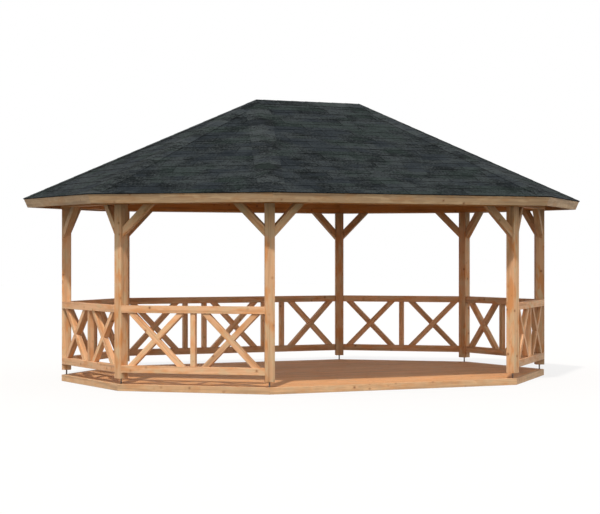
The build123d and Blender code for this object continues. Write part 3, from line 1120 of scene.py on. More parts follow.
class Gathered:
    """Collects finished solids into one mesh that carries each one's grain and tone.

    Each face also carries how far it looks up, which the shingle finish reads to turn faces that
    don't look up near black, partly as painted shade.
    """

    def __init__(self, name: str) -> None:
        """Starts an empty piece, whose draws follow from its name.

        Args:
            name: Name of the piece.
        """
        self.name = name
        self.draw = random.Random(f"{name} {TIMBER_SEED}")
        self.points: list[Vector] = []
        self.faces: list[list[int]] = []
        self.grain: list[Vector] = []
        self.tone: list[float] = []

    def add(self, solid: Solid, place: Matrix | None = None, along: Vector | None = None) -> None:
        """Adds a timber.

        Args:
            solid: The timber in its own frame.
            place: Where that frame lies.
            along: Direction of the grain in it, or None for the longest edge.
        """
        way = along or longest(solid)
        side = way.cross(UP if abs(way.z) < UPRIGHT else INWARD).normalized()
        axes = Matrix((way, side, way.cross(side)))
        middle = sum((vert.co for vert in solid.verts), Vector()) / len(solid.verts)
        tone = self.draw.uniform(-1, 1)
        start = len(self.points)
        for vert in solid.verts:
            self.grain.append(axes @ (vert.co - middle))
            self.tone.append(tone)
        self.take(solid, place, start)

    def add_laid(self, solid: Solid) -> None:
        """Adds repeated pieces that carry their own grain and tone.

        Args:
            solid: The pieces where they lie.
        """
        grain = solid.verts.layers.float_vector.get("grain")
        tone = solid.verts.layers.float["tone"]
        start = len(self.points)
        for vert in solid.verts:
            self.grain.append((vert[grain] if grain else vert.co).copy())
            self.tone.append(vert[tone])
        self.take(solid, None, start)

    def take(self, solid: Solid, place: Matrix | None, start: int) -> None:
        """Takes over a solid's corners and faces, and frees it.

        Args:
            solid: The solid in its own frame.
            place: Where that frame lies.
            start: Number of its first corner in the piece.
        """
        solid.verts.index_update()
        self.points += [place @ vert.co if place else vert.co.copy() for vert in solid.verts]
        rings = [[start + vert.index for vert in face.verts] for face in solid.faces]
        firsts = [ring.index(min(ring)) for ring in rings]
        # The faces take one settled order, so that every run gives the same mesh.
        self.faces += sorted(ring[i:] + ring[:i] for ring, i in zip(rings, firsts))
        solid.free()

    def build(self, material: Material) -> Object:
        """Makes the piece.

        Args:
            material: Its material.

        Returns:
            The object, at the origin.
        """
        mesh = bpy.data.meshes.new(self.name)
        mesh.from_pydata(self.points, [], self.faces)
        mesh.attributes.new("grain", "FLOAT_VECTOR", "POINT").data.foreach_set(
            "vector", [value for point in self.grain for value in point])
        mesh.attributes.new("tone", "FLOAT", "POINT").data.foreach_set("value", self.tone)
        facing = [face.normal.z for face in mesh.polygons]
        mesh.attributes.new("facing", "FLOAT", "FACE").data.foreach_set("value", facing)
        mesh.materials.append(material)
        return placed(self.name, mesh)


# ---------------------------------------------------------------- repeated pieces

def scatter(g: Graph) -> NodeSocket:
    """Number between -1 and 1, drawn for each instance or point."""
    wires = {2: -1.0, 3: 1.0, "Seed": g.taken["Seed"]}
    return g.add("FunctionNodeRandomValue", wires, data_type="FLOAT").outputs[1]


def finish_tree(g: Graph, laid: NodeSocket) -> NodeTree:
    """Ends a tree that lays instances: a tone for each, real geometry, and its material.

    Args:
        g: The tree's graph.
        laid: The instances.

    Returns:
        The tree.
    """
    toned = g.add("GeometryNodeStoreNamedAttribute",
                  {"Geometry": laid, "Name": "tone", "Value": scatter(g)},
                  data_type="FLOAT", domain="INSTANCE")
    real = g.add("GeometryNodeRealizeInstances", {"Geometry": toned.outputs[0]})
    dressed = g.add("GeometryNodeSetMaterial",
                    {"Geometry": real.outputs[0], "Material": g.taken["Material"]})
    g.wire(dressed.outputs[0], g.given["Geometry"])
    return g.tree


def board_rows() -> NodeTree:
    """Tree that lays boards side by side: each runs along X, and the rows step along Y.

    Returns:
        The tree.
    """
    takes = {"Rows": "Int", "Pitch": "Float", "Board Width": "Float", "Board Thickness": "Float",
             "Half Length": "Float", "Arris": "Float", "Seed": "Int", "Material": "Material"}
    g = Graph.group("board_rows", "GeometryNodeTree", takes, {"Geometry": "Geometry"})
    half = g.taken["Half Length"]
    line = g.add("GeometryNodeCurvePrimitiveLine",
                 {"Start": g.xyz(g.math("MULTIPLY", half, -1.0)), "End": g.xyz(half)})
    section = g.add("GeometryNodeCurvePrimitiveQuadrilateral",
                    {"Width": g.taken["Board Width"], "Height": g.taken["Board Thickness"]})
    eased = g.add("GeometryNodeFilletCurve",
                  {"Curve": section.outputs[0], "Radius": g.taken["Arris"]}, mode="POLY")
    board = g.add("GeometryNodeCurveToMesh",
                  {"Curve": line.outputs[0], "Profile Curve": eased.outputs[0], "Fill Caps": True})
    spot = g.add("GeometryNodeInputPosition").outputs[0]
    grained = g.add("GeometryNodeStoreNamedAttribute",
                    {"Geometry": board.outputs[0], "Name": "grain", "Value": spot},
                    data_type="FLOAT_VECTOR", domain="POINT")
    rows = g.add("GeometryNodeMeshLine",
                 {"Count": g.taken["Rows"], "Offset": g.xyz(0.0, g.taken["Pitch"])})
    laid = g.add("GeometryNodeInstanceOnPoints",
                 {"Points": rows.outputs[0], "Instance": grained.outputs[0]})
    return finish_tree(g, laid.outputs[0])


def laid_pieces() -> NodeTree:
    """Tree that lays copies of a piece in rows along X, every other row shifted, a little astray.

    Returns:
        The tree.
    """
    takes = {"Piece": "Object", "Columns": "Int", "Rows": "Int", "Column Pitch": "Float",
             "Row Pitch": "Float", "Row Shift": "Float", "Jitter": "Float", "Seed": "Int",
             "Material": "Material"}
    g = Graph.group("laid_pieces", "GeometryNodeTree", takes, {"Geometry": "Geometry"})
    columns = g.taken["Columns"]
    rows = g.taken["Rows"]
    sizes = [g.math("MULTIPLY", g.math("SUBTRACT", count, 1.0), pitch)
             for count, pitch in ((columns, g.taken["Column Pitch"]), (rows, g.taken["Row Pitch"]))]
    grid = g.add("GeometryNodeMeshGrid", {"Size X": sizes[0], "Size Y": sizes[1],
                                          "Vertices X": columns, "Vertices Y": rows})
    first = g.xyz(g.math("MULTIPLY", sizes[0], 0.5), g.math("MULTIPLY", sizes[1], 0.5))
    moved = g.add("GeometryNodeTransform", {"Geometry": grid.outputs[0], "Translation": first})
    spot = g.split(g.add("GeometryNodeInputPosition").outputs[0])
    row = g.math("ROUND", g.math("DIVIDE", spot[1], g.taken["Row Pitch"]))
    odd = g.math("MODULO", row, 2.0)
    stray = g.math("MULTIPLY", scatter(g), g.taken["Jitter"])
    shift = g.math("MULTIPLY_ADD", odd, g.taken["Row Shift"], stray)
    bonded = g.add("GeometryNodeSetPosition",
                   {"Geometry": moved.outputs[0], "Offset": g.xyz(shift, stray)})
    piece = g.add("GeometryNodeObjectInfo", {"Object": g.taken["Piece"]})
    laid = g.add("GeometryNodeInstanceOnPoints",
                 {"Points": bonded.outputs[0], "Instance": piece.outputs["Geometry"]})
    return finish_tree(g, laid.outputs[0])


def grown(tree: NodeTree, values: dict[str, Any], piece: Solid | None = None) -> Solid:
    """Runs a geometry tree and returns what it makes as plain geometry.

    Args:
        tree: The tree.
        values: Its inputs by name.
        piece: Solid that the tree repeats, which is used up.

    Returns:
        The result.
    """
    mesh = bpy.data.meshes.new("host")
    host = placed("host", mesh)
    given = dict(values)
    if piece is not None:
        piece_mesh = bpy.data.meshes.new("repeated")
        piece.to_mesh(piece_mesh)
        piece.free()
        given["Piece"] = bpy.data.objects.new("repeated", piece_mesh)
    modifier = host.modifiers.new("laid", "NODES")
    modifier.node_group = tree
    for item in tree.interface.items_tree:
        if item.item_type == "SOCKET" and item.in_out == "INPUT":
            modifier[item.identifier] = given[item.name]
    seen = host.evaluated_get(bpy.context.evaluated_depsgraph_get())
    plain = bpy.data.meshes.new_from_object(seen)
    result = bmesh.new()
    result.from_mesh(plain)
    host.modifiers.remove(modifier)
    bpy.data.objects.remove(host)
    if piece is not None:
        bpy.data.objects.remove(given["Piece"])
        bpy.data.meshes.remove(piece_mesh)
    for spare in (mesh, plain):
        bpy.data.meshes.remove(spare)
    return result


@dataclass
class Repeats:
    """The trees that lay what repeats.

    Attributes:
        boards: Lays boards side by side.
        pieces: Lays copies of a piece in rows.
    """

    boards: NodeTree = field(default_factory=board_rows)
    pieces: NodeTree = field(default_factory=laid_pieces)


# ---------------------------------------------------------------- sub-assemblies

@dataclass
class Assembly:
    """What every sub-assembly shares.

    Attributes:
        plan: Plan of the posts.
        finishes: The gazebo's materials.
        repeats: The trees that lay what repeats.
    """

    plan: Plan
    finishes: Finishes
    repeats: Repeats

    def dress(self, piece: Object, slot: Slot, *nodes: str) -> None:
        """Joins a finished piece to the frame and reports it.

        Args:
            piece: The piece.
            slot: Material slot that its finish fills.
            *nodes: CAD nodes that it stands for.
        """
        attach(piece, BODY)
        if nodes:
            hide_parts(*nodes)
        log.info("%s: %d faces, %s", piece.name, len(piece.data.polygons), slot.value)

    def complete(self, gathered: Gathered, material: Material, slot: Slot, *nodes: str) -> None:
        """Makes a piece of what is gathered, and dresses it.

        Args:
            gathered: The piece's solids.
            material: Its material.
            slot: Material slot that its finish fills.
            *nodes: CAD nodes that it stands for.
        """
        self.dress(gathered.build(material), slot, *nodes)

    def eased_copy(self, node: str, arris: float, material: Material, slot: Slot, steps: int = 1,
                   lengthwise: bool = False) -> None:
        """Makes the eased timbers of one CAD node.

        Args:
            node: The node.
            arris: Width taken off its sharp arrises.
            material: Its material.
            slot: Its material slot.
            steps: Facets across the arris.
            lengthwise: Whether the ends stay sharp, so that mitres close.
        """
        gathered = Gathered(f"{node}_timber")
        for solid in cad_solids(node):
            along = longest(solid)
            ease(solid, arris, steps, partial(runs_along, way=along) if lengthwise else None)
            gathered.add(solid, along=along)
        self.complete(gathered, material, slot, node)


@dataclass
class Deck(Assembly):
    """Low deck: edge boards, joists, floor boards along X and their screws.

    Attributes:
        board_pitch: Distance between floor boards.
        board_gap: Clear gap between them.
        arris: Width taken off the boards' arrises.
        clearance: Gap between the floor boards' ends and the edge boards.
        mitre_gap: Half the joint between two edge boards, along them.
        joist_pitch: Distance between joists.
        floor_seed: Seed of the floor boards' tones.
        screw_inset: Screws in from a board's long edges.
        screw_radius: Radius of a screw head.
        screw_depth: How far a head lies under the boards' face.
        screw_stray: How far screws stray from their rows.
        screw_seed: Seed of that and of their tones.
        neck: Radius of a screw's neck as a share of its head's.
        neck_depth: How far the neck lies under the head's face.
        rim: Height of the head's rim.
        socket: Mouth and floor of the drive, as shares of the head's radius.
        socket_depth: Depth of the drive.
        head_sides: Facets round a head.
    """

    board_pitch: float = 0.120
    board_gap: float = 0.005
    arris: float = 0.003
    clearance: float = 0.003
    mitre_gap: float = 0.0004
    joist_pitch: float = 0.540
    floor_seed: int = 11
    screw_inset: float = 0.022
    screw_radius: float = 0.0045
    screw_depth: float = 0.0006
    screw_stray: float = 0.0015
    screw_seed: int = 5
    neck: float = 0.4
    neck_depth: float = 0.004
    rim: float = 0.0004
    socket: tuple[float, float] = (0.45, 0.35)
    socket_depth: float = 0.0016
    head_sides: int = 8

    @property
    def rows(self) -> int:
        """Number of floor boards."""
        low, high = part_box("deck_floor")
        return math.ceil((high.y - low.y) / self.board_pitch)

    @property
    def first_row(self) -> float:
        """Middle of the first floor board."""
        return -(self.rows - 1) / 2 * self.board_pitch

    def floor_limits(self, inset: float) -> list[tuple[Vector, Vector]]:
        """Upright planes round the floor, moved in by inset."""
        reach = -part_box("deck_floor")[0].y - self.plan.apothem - inset
        return [(self.plan.corner(k, reach), self.plan.outward(k)) for k in range(CORNERS)]

    def floor(self) -> None:
        """Lays the floor boards."""
        low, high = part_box("deck_floor")
        laid = grown(self.repeats.boards, {
            "Rows": self.rows, "Pitch": self.board_pitch,
            "Board Width": self.board_pitch - self.board_gap, "Board Thickness": high.z - low.z,
            "Half Length": high.x, "Arris": self.arris, "Seed": self.floor_seed,
            "Material": self.finishes.deck})
        start = Vector((0, self.first_row, (low.z + high.z) / 2))
        bmesh.ops.translate(laid, verts=laid.verts, vec=start)
        for point, normal in self.floor_limits(self.clearance):
            cut(laid, point, normal)
        gathered = Gathered("deck_floor_boards")
        gathered.add_laid(laid)
        self.complete(gathered, self.finishes.deck, Slot.DECK, "deck_floor")

    def screw_head(self) -> Solid:
        """Turns a countersunk screw head with its drive.

        Returns:
            The head, its face at the origin.
        """
        radius = self.screw_radius
        mouth, ground = self.socket
        return turned([(radius * self.neck, -self.neck_depth), (radius, -self.rim), (radius, 0.0),
                       (radius * mouth, 0.0), (radius * ground, -self.socket_depth)],
                      self.head_sides)

    def screws(self) -> None:
        """Sets two screws in each board over each joist."""
        _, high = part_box("deck_floor")
        columns = 2 * int(high.x / self.joist_pitch) + 1
        gathered = Gathered("deck_screws")
        inner = self.floor_limits(self.screw_inset)
        for side in (-1, 1):
            laid = grown(self.repeats.pieces, {
                "Columns": columns, "Rows": self.rows, "Column Pitch": self.joist_pitch,
                "Row Pitch": self.board_pitch, "Row Shift": 0.0, "Jitter": self.screw_stray,
                "Seed": self.screw_seed + side, "Material": self.finishes.steel},
                self.screw_head())
            edge = side * (self.board_pitch / 2 - self.screw_inset)
            start = Vector((-(columns - 1) / 2 * self.joist_pitch, edge + self.first_row,
                            high.z - self.screw_depth))
            bmesh.ops.translate(laid, verts=laid.verts, vec=start)
            outside = [vert for vert in laid.verts
                       if any((vert.co - point).dot(normal) > 0 for point, normal in inner)]
            faces = {face for vert in outside for face in vert.link_faces}
            bmesh.ops.delete(laid, geom=list(connected(faces, self.neighbours)), context="FACES")
            gathered.add_laid(laid)
        self.complete(gathered, self.finishes.steel, Slot.STEEL)

    @staticmethod
    def neighbours(face: Face) -> Iterable[Face]:
        """Faces that share an edge with a face."""
        return (other for edge in face.edges for other in edge.link_faces)

    def edge_boards(self) -> None:
        """Frames the deck with boards on edge, mitred at the corners."""
        low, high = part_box("deck_edge_boards")
        outer = -low.y - self.plan.apothem
        inner = -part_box("deck_floor")[0].y - self.plan.apothem
        gathered = Gathered("deck_edge_boards_mitred")
        for k in range(CORNERS):
            section = [(self.plan.half_side(k, reach) - self.mitre_gap, reach, z) for reach, z
                       in ((outer, low.z), (outer, high.z), (inner, high.z), (inner, low.z))]
            board = prism(*[[Vector((sign * half, -reach, z)) for half, reach, z in section]
                            for sign in (-1, 1)])
            ease(board, self.arris, keep=partial(runs_along, way=ALONG))
            gathered.add(board, self.plan.side(k), ALONG)
        self.complete(gathered, self.finishes.edging, Slot.DECK, "deck_edge_boards")

    def build(self) -> None:
        """Builds the deck."""
        self.floor()
        self.screws()
        self.edge_boards()
        self.eased_copy("deck_joists", self.arris, self.finishes.deck, Slot.DECK)


@dataclass
class PostFrame(Assembly):
    """Posts on steel rods, ring beams and knee braces.

    Attributes:
        arris: Width taken off the timbers' arrises.
        thread_pitch: Distance between the rods' threads.
        thread_depth: Depth of a thread.
        rod_sides: Facets round a rod.
        post_steps: Facets across a post's arris.
    """

    arris: float = 0.004
    thread_pitch: float = 0.0025
    thread_depth: float = 0.0012
    rod_sides: int = 20
    post_steps: int = 2

    def rods(self) -> None:
        """Turns the threaded rods."""
        low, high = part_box("post_rods")
        post_low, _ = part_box("post_front_left")
        radius = high.x - self.plan.posts[POST_NAMES.index("right_front")].x
        root = radius - self.thread_depth
        length = post_low.z - low.z
        gathered = Gathered("post_rods_threaded")
        profile = []
        for i in range(round(length / self.thread_pitch)):
            foot = i * self.thread_pitch
            profile += [(root, foot), (radius, foot + self.thread_pitch / 2)]
        profile.append((root, length))
        for post in self.plan.posts:
            rod = turned(profile, self.rod_sides)
            gathered.add(rod, Matrix.Translation((post.x, post.y, low.z)), UP)
        self.complete(gathered, self.finishes.steel, Slot.STEEL, "post_rods")

    def build(self) -> None:
        """Builds the frame."""
        self.rods()
        posts = self.finishes.posts
        for name in POST_NAMES:
            self.eased_copy(f"post_{name}", self.arris, posts, Slot.FRAME, self.post_steps)
        for name in SIDE_NAMES:
            # The ring beams take the darker roof timber, which carries painted shade for their
            # place under the roof.
            self.eased_copy(f"ring_beam_{name}", self.arris, self.finishes.roof, Slot.FRAME)
            self.eased_copy(f"knee_braces_{name}", self.arris, posts, Slot.FRAME)


@dataclass
class Railings(Assembly):
    """Crossed-bar railings: two rails, uprights and half-lapped bars in every bay but the entrance.

    Attributes:
        rail_high: Height of a rail.
        rail_deep: Depth of a rail.
        lattice_deep: Depth of uprights and crossed bars.
        upright_wide: Width of an upright.
        bar_wide: Width of a crossed bar, which stands at half a right angle.
        recess: Uprights and bars behind the outer face of the rails.
        left_rising: Sides whose outer bars rise to the left, seen from outside. Others rise right.
        arris: Width taken off the arrises.
    """

    rail_high: float = 0.087
    rail_deep: float = 0.095
    lattice_deep: float = 0.063
    upright_wide: float = 0.062
    bar_wide: float = 0.067
    recess: float = 0.016
    left_rising: tuple[str, ...] = ("front_left", "right")
    arris: float = 0.003

    def __post_init__(self) -> None:
        """Reads the railings' place from the frame."""
        low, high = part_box("railing_back")
        post_low, post_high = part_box("post_front_left")
        self.outer = self.plan.apothem - high.y
        across = math.cos(HALF_TURN) + math.sin(HALF_TURN)
        self.half_post = (post_high.x - post_low.x) / across / 2
        self.rails = ((low.z, low.z + self.rail_high), (high.z - self.rail_high, high.z))
        self.front = self.outer + self.recess

    def clear(self, k: int, y: float) -> float:
        """Half the clear width between the posts of side k, at local depth y."""
        face = (self.half_post + y * math.sin(HALF_TURN)) / math.cos(HALF_TURN)
        return self.plan.half_side(k) - face

    @property
    def field_wide(self) -> float:
        """Clear width of one crossed-bar field, which every side shares."""
        return self.clear(SIDE_NAMES.index("left"), self.outer) - self.upright_wide / 2

    def layout(self, k: int) -> tuple[list[float], list[float]]:
        """Middles of the fields and of the uprights of side k.

        Args:
            k: Side, counted from the front.

        Returns:
            The fields' middles and the uprights' middles.
        """
        end = self.clear(k, self.outer) - self.field_wide / 2
        if k != BACK:
            return [-end, end], [0.0]
        beside = (self.field_wide + self.upright_wide) / 2
        outer = end - beside
        return [-end, 0.0, end], [-outer, -beside, beside, outer]

    def rail(self, k: int, heights: tuple[float, float]) -> Solid:
        """Rail with its ends cut to the posts.

        Args:
            k: Side, counted from the front.
            heights: Its lower and upper face.

        Returns:
            The rail in the side's frame.
        """
        outer, inner = self.outer, self.outer + self.rail_deep
        wide, narrow = self.clear(k, outer), self.clear(k, inner)
        outline = [(-wide, outer), (wide, outer), (narrow, inner), (-narrow, inner)]
        return upright(outline, heights)

    def bar(self, height: float, lean: int) -> Solid:
        """Crossed bar, notched by half at the back where the other bar crosses it.

        Args:
            height: Clear height between the rails.
            lean: 1 for a bar that rises to the right, -1 for one that rises to the left.

        Returns:
            The bar about the field's middle, longer than it will be.
        """
        half = self.bar_wide / 2
        thick = self.lattice_deep
        along = Vector((lean, 0, 1)).normalized()
        across = Vector((-lean, 0, 1)).normalized()
        solid = bmesh.new()

        def corner(u: float, v: float, depth: float) -> bmesh.types.BMVert:
            """Corner of the bar at its own length, width and depth."""
            return solid.verts.new(along * u + across * v + Vector((0, depth, 0)))

        front, back, rim, seat = [
            {(e, v): corner(e * reach, v * half, depth) for e in (-1, 1) for v in (-1, 1)}
            for reach, depth in ((height, 0.0), (height, thick), (half, thick), (half, thick / 2))]
        solid.faces.new((front[-1, -1], front[1, -1], front[1, 1], front[-1, 1]))
        solid.faces.new((seat[-1, -1], seat[1, -1], seat[1, 1], seat[-1, 1]))
        for e in (-1, 1):
            solid.faces.new((back[e, -1], rim[e, -1], rim[e, 1], back[e, 1]))
            solid.faces.new((rim[e, -1], seat[e, -1], seat[e, 1], rim[e, 1]))
            solid.faces.new((front[e, -1], front[e, 1], back[e, 1], back[e, -1]))
        for v in (-1, 1):
            solid.faces.new((front[-1, v], front[1, v], back[1, v], rim[1, v],
                             seat[1, v], seat[-1, v], rim[-1, v], back[-1, v]))
        bmesh.ops.recalc_face_normals(solid, faces=solid.faces)
        ease(solid, self.arris, keep=lambda edge: runs_along(edge, along)
             and min(abs(edge.verts[0].co.y - y) for y in (0.0, thick)) < MERGE)
        return solid

    def crossed_bars(self, gathered: Gathered, k: int, middle: float) -> None:
        """Fits the two bars of one field.

        Args:
            gathered: Piece that takes them.
            k: Side, counted from the front.
            middle: Middle of the field along the side.
        """
        low = self.rails[0][1]
        high = self.rails[1][0]
        centre = Vector((middle, self.front, (low + high) / 2))
        lean = -1 if SIDE_NAMES[k] in self.left_rising else 1
        behind = Matrix.Translation((0, self.lattice_deep, 0)) @ Matrix.Rotation(math.pi, 4, "Z")
        for turn in (False, True):
            solid = self.bar(high - low, lean)
            along = Vector((-lean if turn else lean, 0, 1)).normalized()
            if turn:
                solid.transform(behind)
            solid.transform(Matrix.Translation(centre))
            cut(solid, Vector((0, 0, low)), -UP)
            cut(solid, Vector((0, 0, high)), UP)
            gathered.add(solid, self.plan.side(k), along)

    def panel(self, k: int) -> None:
        """Builds the railing of side k.

        Args:
            k: Side, counted from the front.
        """
        node = f"railing_{SIDE_NAMES[k]}"
        gathered = Gathered(f"{node}_timber")
        fields, uprights = self.layout(k)
        timbers = [(self.rail(k, heights), ALONG) for heights in self.rails]
        for x in uprights:
            low = (x - self.upright_wide / 2, self.front, self.rails[0][1])
            high = (x + self.upright_wide / 2, self.front + self.lattice_deep, self.rails[1][0])
            timbers.append((block(low, high), UP))
        for solid, along in timbers:
            ease(solid, self.arris)
            gathered.add(solid, self.plan.side(k), along)
        for middle in fields:
            self.crossed_bars(gathered, k, middle)
        self.complete(gathered, self.finishes.rails, Slot.RAILING, node)

    def build(self) -> None:
        """Builds the seven railings."""
        for k in range(CORNERS):
            if k != FRONT:
                self.panel(k)


@dataclass
class RoofFrame(Assembly):
    """Rafters, ridge beam, ridge blocks, boarding and fascia.

    Attributes:
        shape: Planes of the roof.
        arris: Width taken off the rafters' arrises.
        fascia_arris: Width taken off the fascia's long arrises.
        board_pitch: Distance between the boards of the boarding.
        board_gap: Open joint between them.
        groove: Width taken off the boards' edges, which makes their grooves.
        seed: Seed of the boards' tones on the front slope.
    """

    shape: RoofShape
    arris: float = 0.003
    fascia_arris: float = 0.002
    board_pitch: float = 0.096
    board_gap: float = 0.001
    groove: float = 0.004
    seed: int = 20

    def boarding(self) -> None:
        """Lays the boarding of the eight slopes, parallel to the eaves."""
        shape = self.shape
        thick = self.thickness
        rows = math.ceil(shape.length / self.board_pitch)
        gathered = Gathered("roof_boarding_boards")
        for k in range(CORNERS):
            laid = grown(self.repeats.boards, {
                "Rows": rows, "Pitch": self.board_pitch,
                "Board Width": self.board_pitch - self.board_gap, "Board Thickness": thick,
                "Half Length": self.plan.half_side(k, shape.eave_reach), "Arris": self.groove,
                "Seed": self.seed + k, "Material": self.finishes.roof})
            start = Matrix.Translation((0, self.board_pitch / 2, -thick / 2))
            laid.transform(shape.place(k) @ start)
            for point, normal in (*shape.limits(k), shape.fascia_back(k)):
                cut(laid, point, normal)
            gathered.add_laid(laid)
        self.complete(gathered, self.finishes.roof, Slot.ROOF, "roof_boarding")

    @property
    def thickness(self) -> float:
        """Thickness of the boarding, worked out from the lowest point of its box."""
        shape = self.shape
        low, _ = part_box("roof_boarding")
        rise = shape.eave_height + shape.board_start * math.sin(shape.slope) - low.z
        lag = shape.slope - shape.lean
        return rise / (math.cos(shape.slope) + math.tan(lag) * math.sin(shape.slope))

    def build(self) -> None:
        """Builds the roof's timber."""
        self.boarding()
        for node in ("hip_rafters", "common_rafters", "ridge_beam", "ridge_blocks"):
            self.eased_copy(node, self.arris, self.finishes.roof, Slot.ROOF)
        self.eased_copy("fascia_boards", self.fascia_arris, self.finishes.eaves, Slot.ROOF,
                        lengthwise=True)


@dataclass
class RoofSkin(Assembly):
    """Felt, shingle courses and the folded caps over hips and ridge.

    Attributes:
        shape: Planes of the roof.
        layer: Thickness of the shingle layer.
        felt: Thickness of the felt under the tabs.
        felt_inset: How far the felt stays back from the eave.
        exposure: Visible height of a course.
        tab_width: Distance between tabs.
        slot: Gap between neighbouring tabs.
        tab_thick: Thickness of a tab.
        tab_trim: Width taken off a tab's lower corners.
        tab_stray: How far tabs stray from their rows.
        tab_seed: Seed of that and of their tones on the front slope.
        starter_wide: Width of the strip under the lowest course.
        starter_thick: Thickness of that strip with the felt under it.
        lap: How far a tab reaches under the next course.
        cap_wide: Width of a cap on each side of a hip.
        cap_thick: Thickness of a cap.
        cap_exposure: Visible length of a cap.
        cap_cover: Length of a cap in visible lengths.
        cap_stray: How far caps stray along their line.
        hip_seed: Seed of that and of their tones on the first hip.
        ridge_seed: Seed of both on the ridge.
    """

    shape: RoofShape
    layer: float = 0.010
    felt: float = 0.0025
    felt_inset: float = 0.004
    exposure: float = 0.200
    tab_width: float = 0.410
    slot: float = 0.004
    tab_thick: float = 0.0032
    tab_trim: float = 0.006
    tab_stray: float = 0.0015
    tab_seed: int = 40
    starter_wide: float = 0.060
    starter_thick: float = 0.0054
    lap: float = 0.030
    cap_wide: float = 0.158
    cap_thick: float = 0.0022
    cap_exposure: float = 0.200
    cap_cover: float = 1.2
    cap_stray: float = 0.001
    hip_seed: int = 60
    ridge_seed: int = 70

    def trimmed(self, solid: Solid, k: int) -> Solid:
        """Cuts what lies on a slope to its hips and ridge.

        Args:
            solid: One or more closed solids.
            k: Slope, counted from the front.

        Returns:
            The same solids, cut.
        """
        for point, normal in self.shape.limits(k):
            cut(solid, point, normal)
        return solid

    def tab(self) -> Solid:
        """One shingle tab, its lower edge at the origin and standing proud of the course below.

        Returns:
            The tab.
        """
        half = (self.tab_width - self.slot) / 2
        long = self.exposure + self.lap
        trim = self.tab_trim
        outline = [(-half + trim, 0), (half - trim, 0), (half, trim),
                   (half, long), (-half, long), (-half, trim)]
        fall = self.tab_thick / self.exposure
        return prism(*[[Vector((x, y, self.layer - drop - y * fall)) for x, y in outline]
                       for drop in (0.0, self.tab_thick)])

    def shingles(self) -> None:
        """Lays felt and shingle courses on the eight slopes."""
        shape = self.shape
        gathered = Gathered("roof_shingles_laid")
        rows = math.ceil((shape.length + shape.overhang) / self.exposure)
        for k in range(CORNERS):
            half = self.plan.half_side(k, shape.eave_reach + shape.overhang)
            sheet = block((-half, -shape.overhang + self.felt_inset, 0),
                          (half, shape.length + self.lap, self.felt))
            starter = block((-half, -shape.overhang, 0),
                            (half, self.starter_wide, self.starter_thick))
            for strip in (sheet, starter):
                strip.transform(shape.place(k))
                gathered.add(self.trimmed(strip, k))
            columns = math.ceil(2 * half / self.tab_width) + 2
            laid = grown(self.repeats.pieces, {
                "Columns": columns, "Rows": rows, "Column Pitch": self.tab_width,
                "Row Pitch": self.exposure, "Row Shift": self.tab_width / 2,
                "Jitter": self.tab_stray, "Seed": self.tab_seed + k,
                "Material": self.finishes.shingle}, self.tab())
            start = (-(columns - 1) / 2 * self.tab_width - self.tab_width / 4, -shape.overhang, 0)
            laid.transform(shape.place(k) @ Matrix.Translation(start))
            gathered.add_laid(self.trimmed(laid, k))
        self.complete(gathered, self.finishes.shingle, Slot.SHINGLE, "roof_shingles")

    def cap(self, fall: float) -> Solid:
        """Folded cap, its lower end at the origin and its length along X.

        Args:
            fall: Angle at which its two wings fall from the level.

        Returns:
            The cap.
        """
        sink = self.cap_thick / self.cap_exposure
        right = Vector((0, math.cos(fall), -math.sin(fall))) * self.cap_wide
        left = Vector((0, -right.y, right.z))
        down = Vector((0, 0, -self.cap_thick / math.cos(fall)))
        rings = []
        for x in (0.0, self.cap_exposure * self.cap_cover):
            crest = Vector((x, 0, 2 * self.cap_thick - x * sink))
            rings.append([crest + left, crest, crest + right,
                          crest + right + down, crest + down, crest + left + down])
        return prism(*rings)

    def capped(self, start: Vector, end: Vector, fall: float, seed: int) -> Solid:
        """Lays caps along a hip or the ridge.

        Args:
            start: Lower end of the line.
            end: Upper end of the line.
            fall: Angle at which the wings fall from the level across the line.
            seed: Seed of the caps' tones.

        Returns:
            The caps.
        """
        way = (end - start).normalized()
        side = UP.cross(way).normalized()
        place = Matrix((way, side, way.cross(side))).transposed().to_4x4()
        count = math.ceil((end - start).length / self.cap_exposure) + 1
        laid = grown(self.repeats.pieces, {
            "Columns": count, "Rows": 1, "Column Pitch": self.cap_exposure,
            "Row Pitch": self.cap_exposure, "Row Shift": 0.0, "Jitter": self.cap_stray,
            "Seed": seed, "Material": self.finishes.capping}, self.cap(fall))
        first = Matrix.Translation((-self.cap_exposure / 2, 0, 0))
        laid.transform(Matrix.Translation(start) @ place @ first)
        return laid

    def capping(self) -> None:
        """Lays the caps over the eight hips and the ridge."""
        shape = self.shape
        gathered = Gathered("roof_capping_laid")
        for k in range(CORNERS):
            start = shape.hip(k, -shape.overhang, -self.layer)
            end = shape.hip(k, shape.length, -self.layer)
            way = (end - start).normalized()
            wing = way.cross(shape.place(k).to_3x3() @ UP).normalized()
            side = UP.cross(way).normalized()
            fall = math.acos(min(1.0, abs(wing.dot(side))))
            laid = self.capped(start, end, fall, self.hip_seed + k)
            for slope in ((k - 1) % CORNERS, k):
                place = shape.place(slope)
                axes = place.to_3x3()
                cut(laid, place @ Vector((0, -shape.overhang, 0)), -(axes @ INWARD))
                away = axes @ ALONG if slope == k else -(axes @ ALONG)
                cut(laid, self.plan.ridge_end(k) - away * shape.gap, away)
            gathered.add_laid(laid)
        ends = [shape.hip(k, shape.length, -self.layer) for k in (0, 1)]
        ridge = self.capped(*ends, shape.slope, self.ridge_seed)
        for point in ends:
            cut(ridge, point, ALONG * math.copysign(1.0, point.x))
        gathered.add_laid(ridge)
        self.complete(gathered, self.finishes.capping, Slot.SHINGLE, "roof_capping")

    def build(self) -> None:
        """Builds the roof's covering."""
        self.shingles()
        self.capping()


# ---------------------------------------------------------------- studio

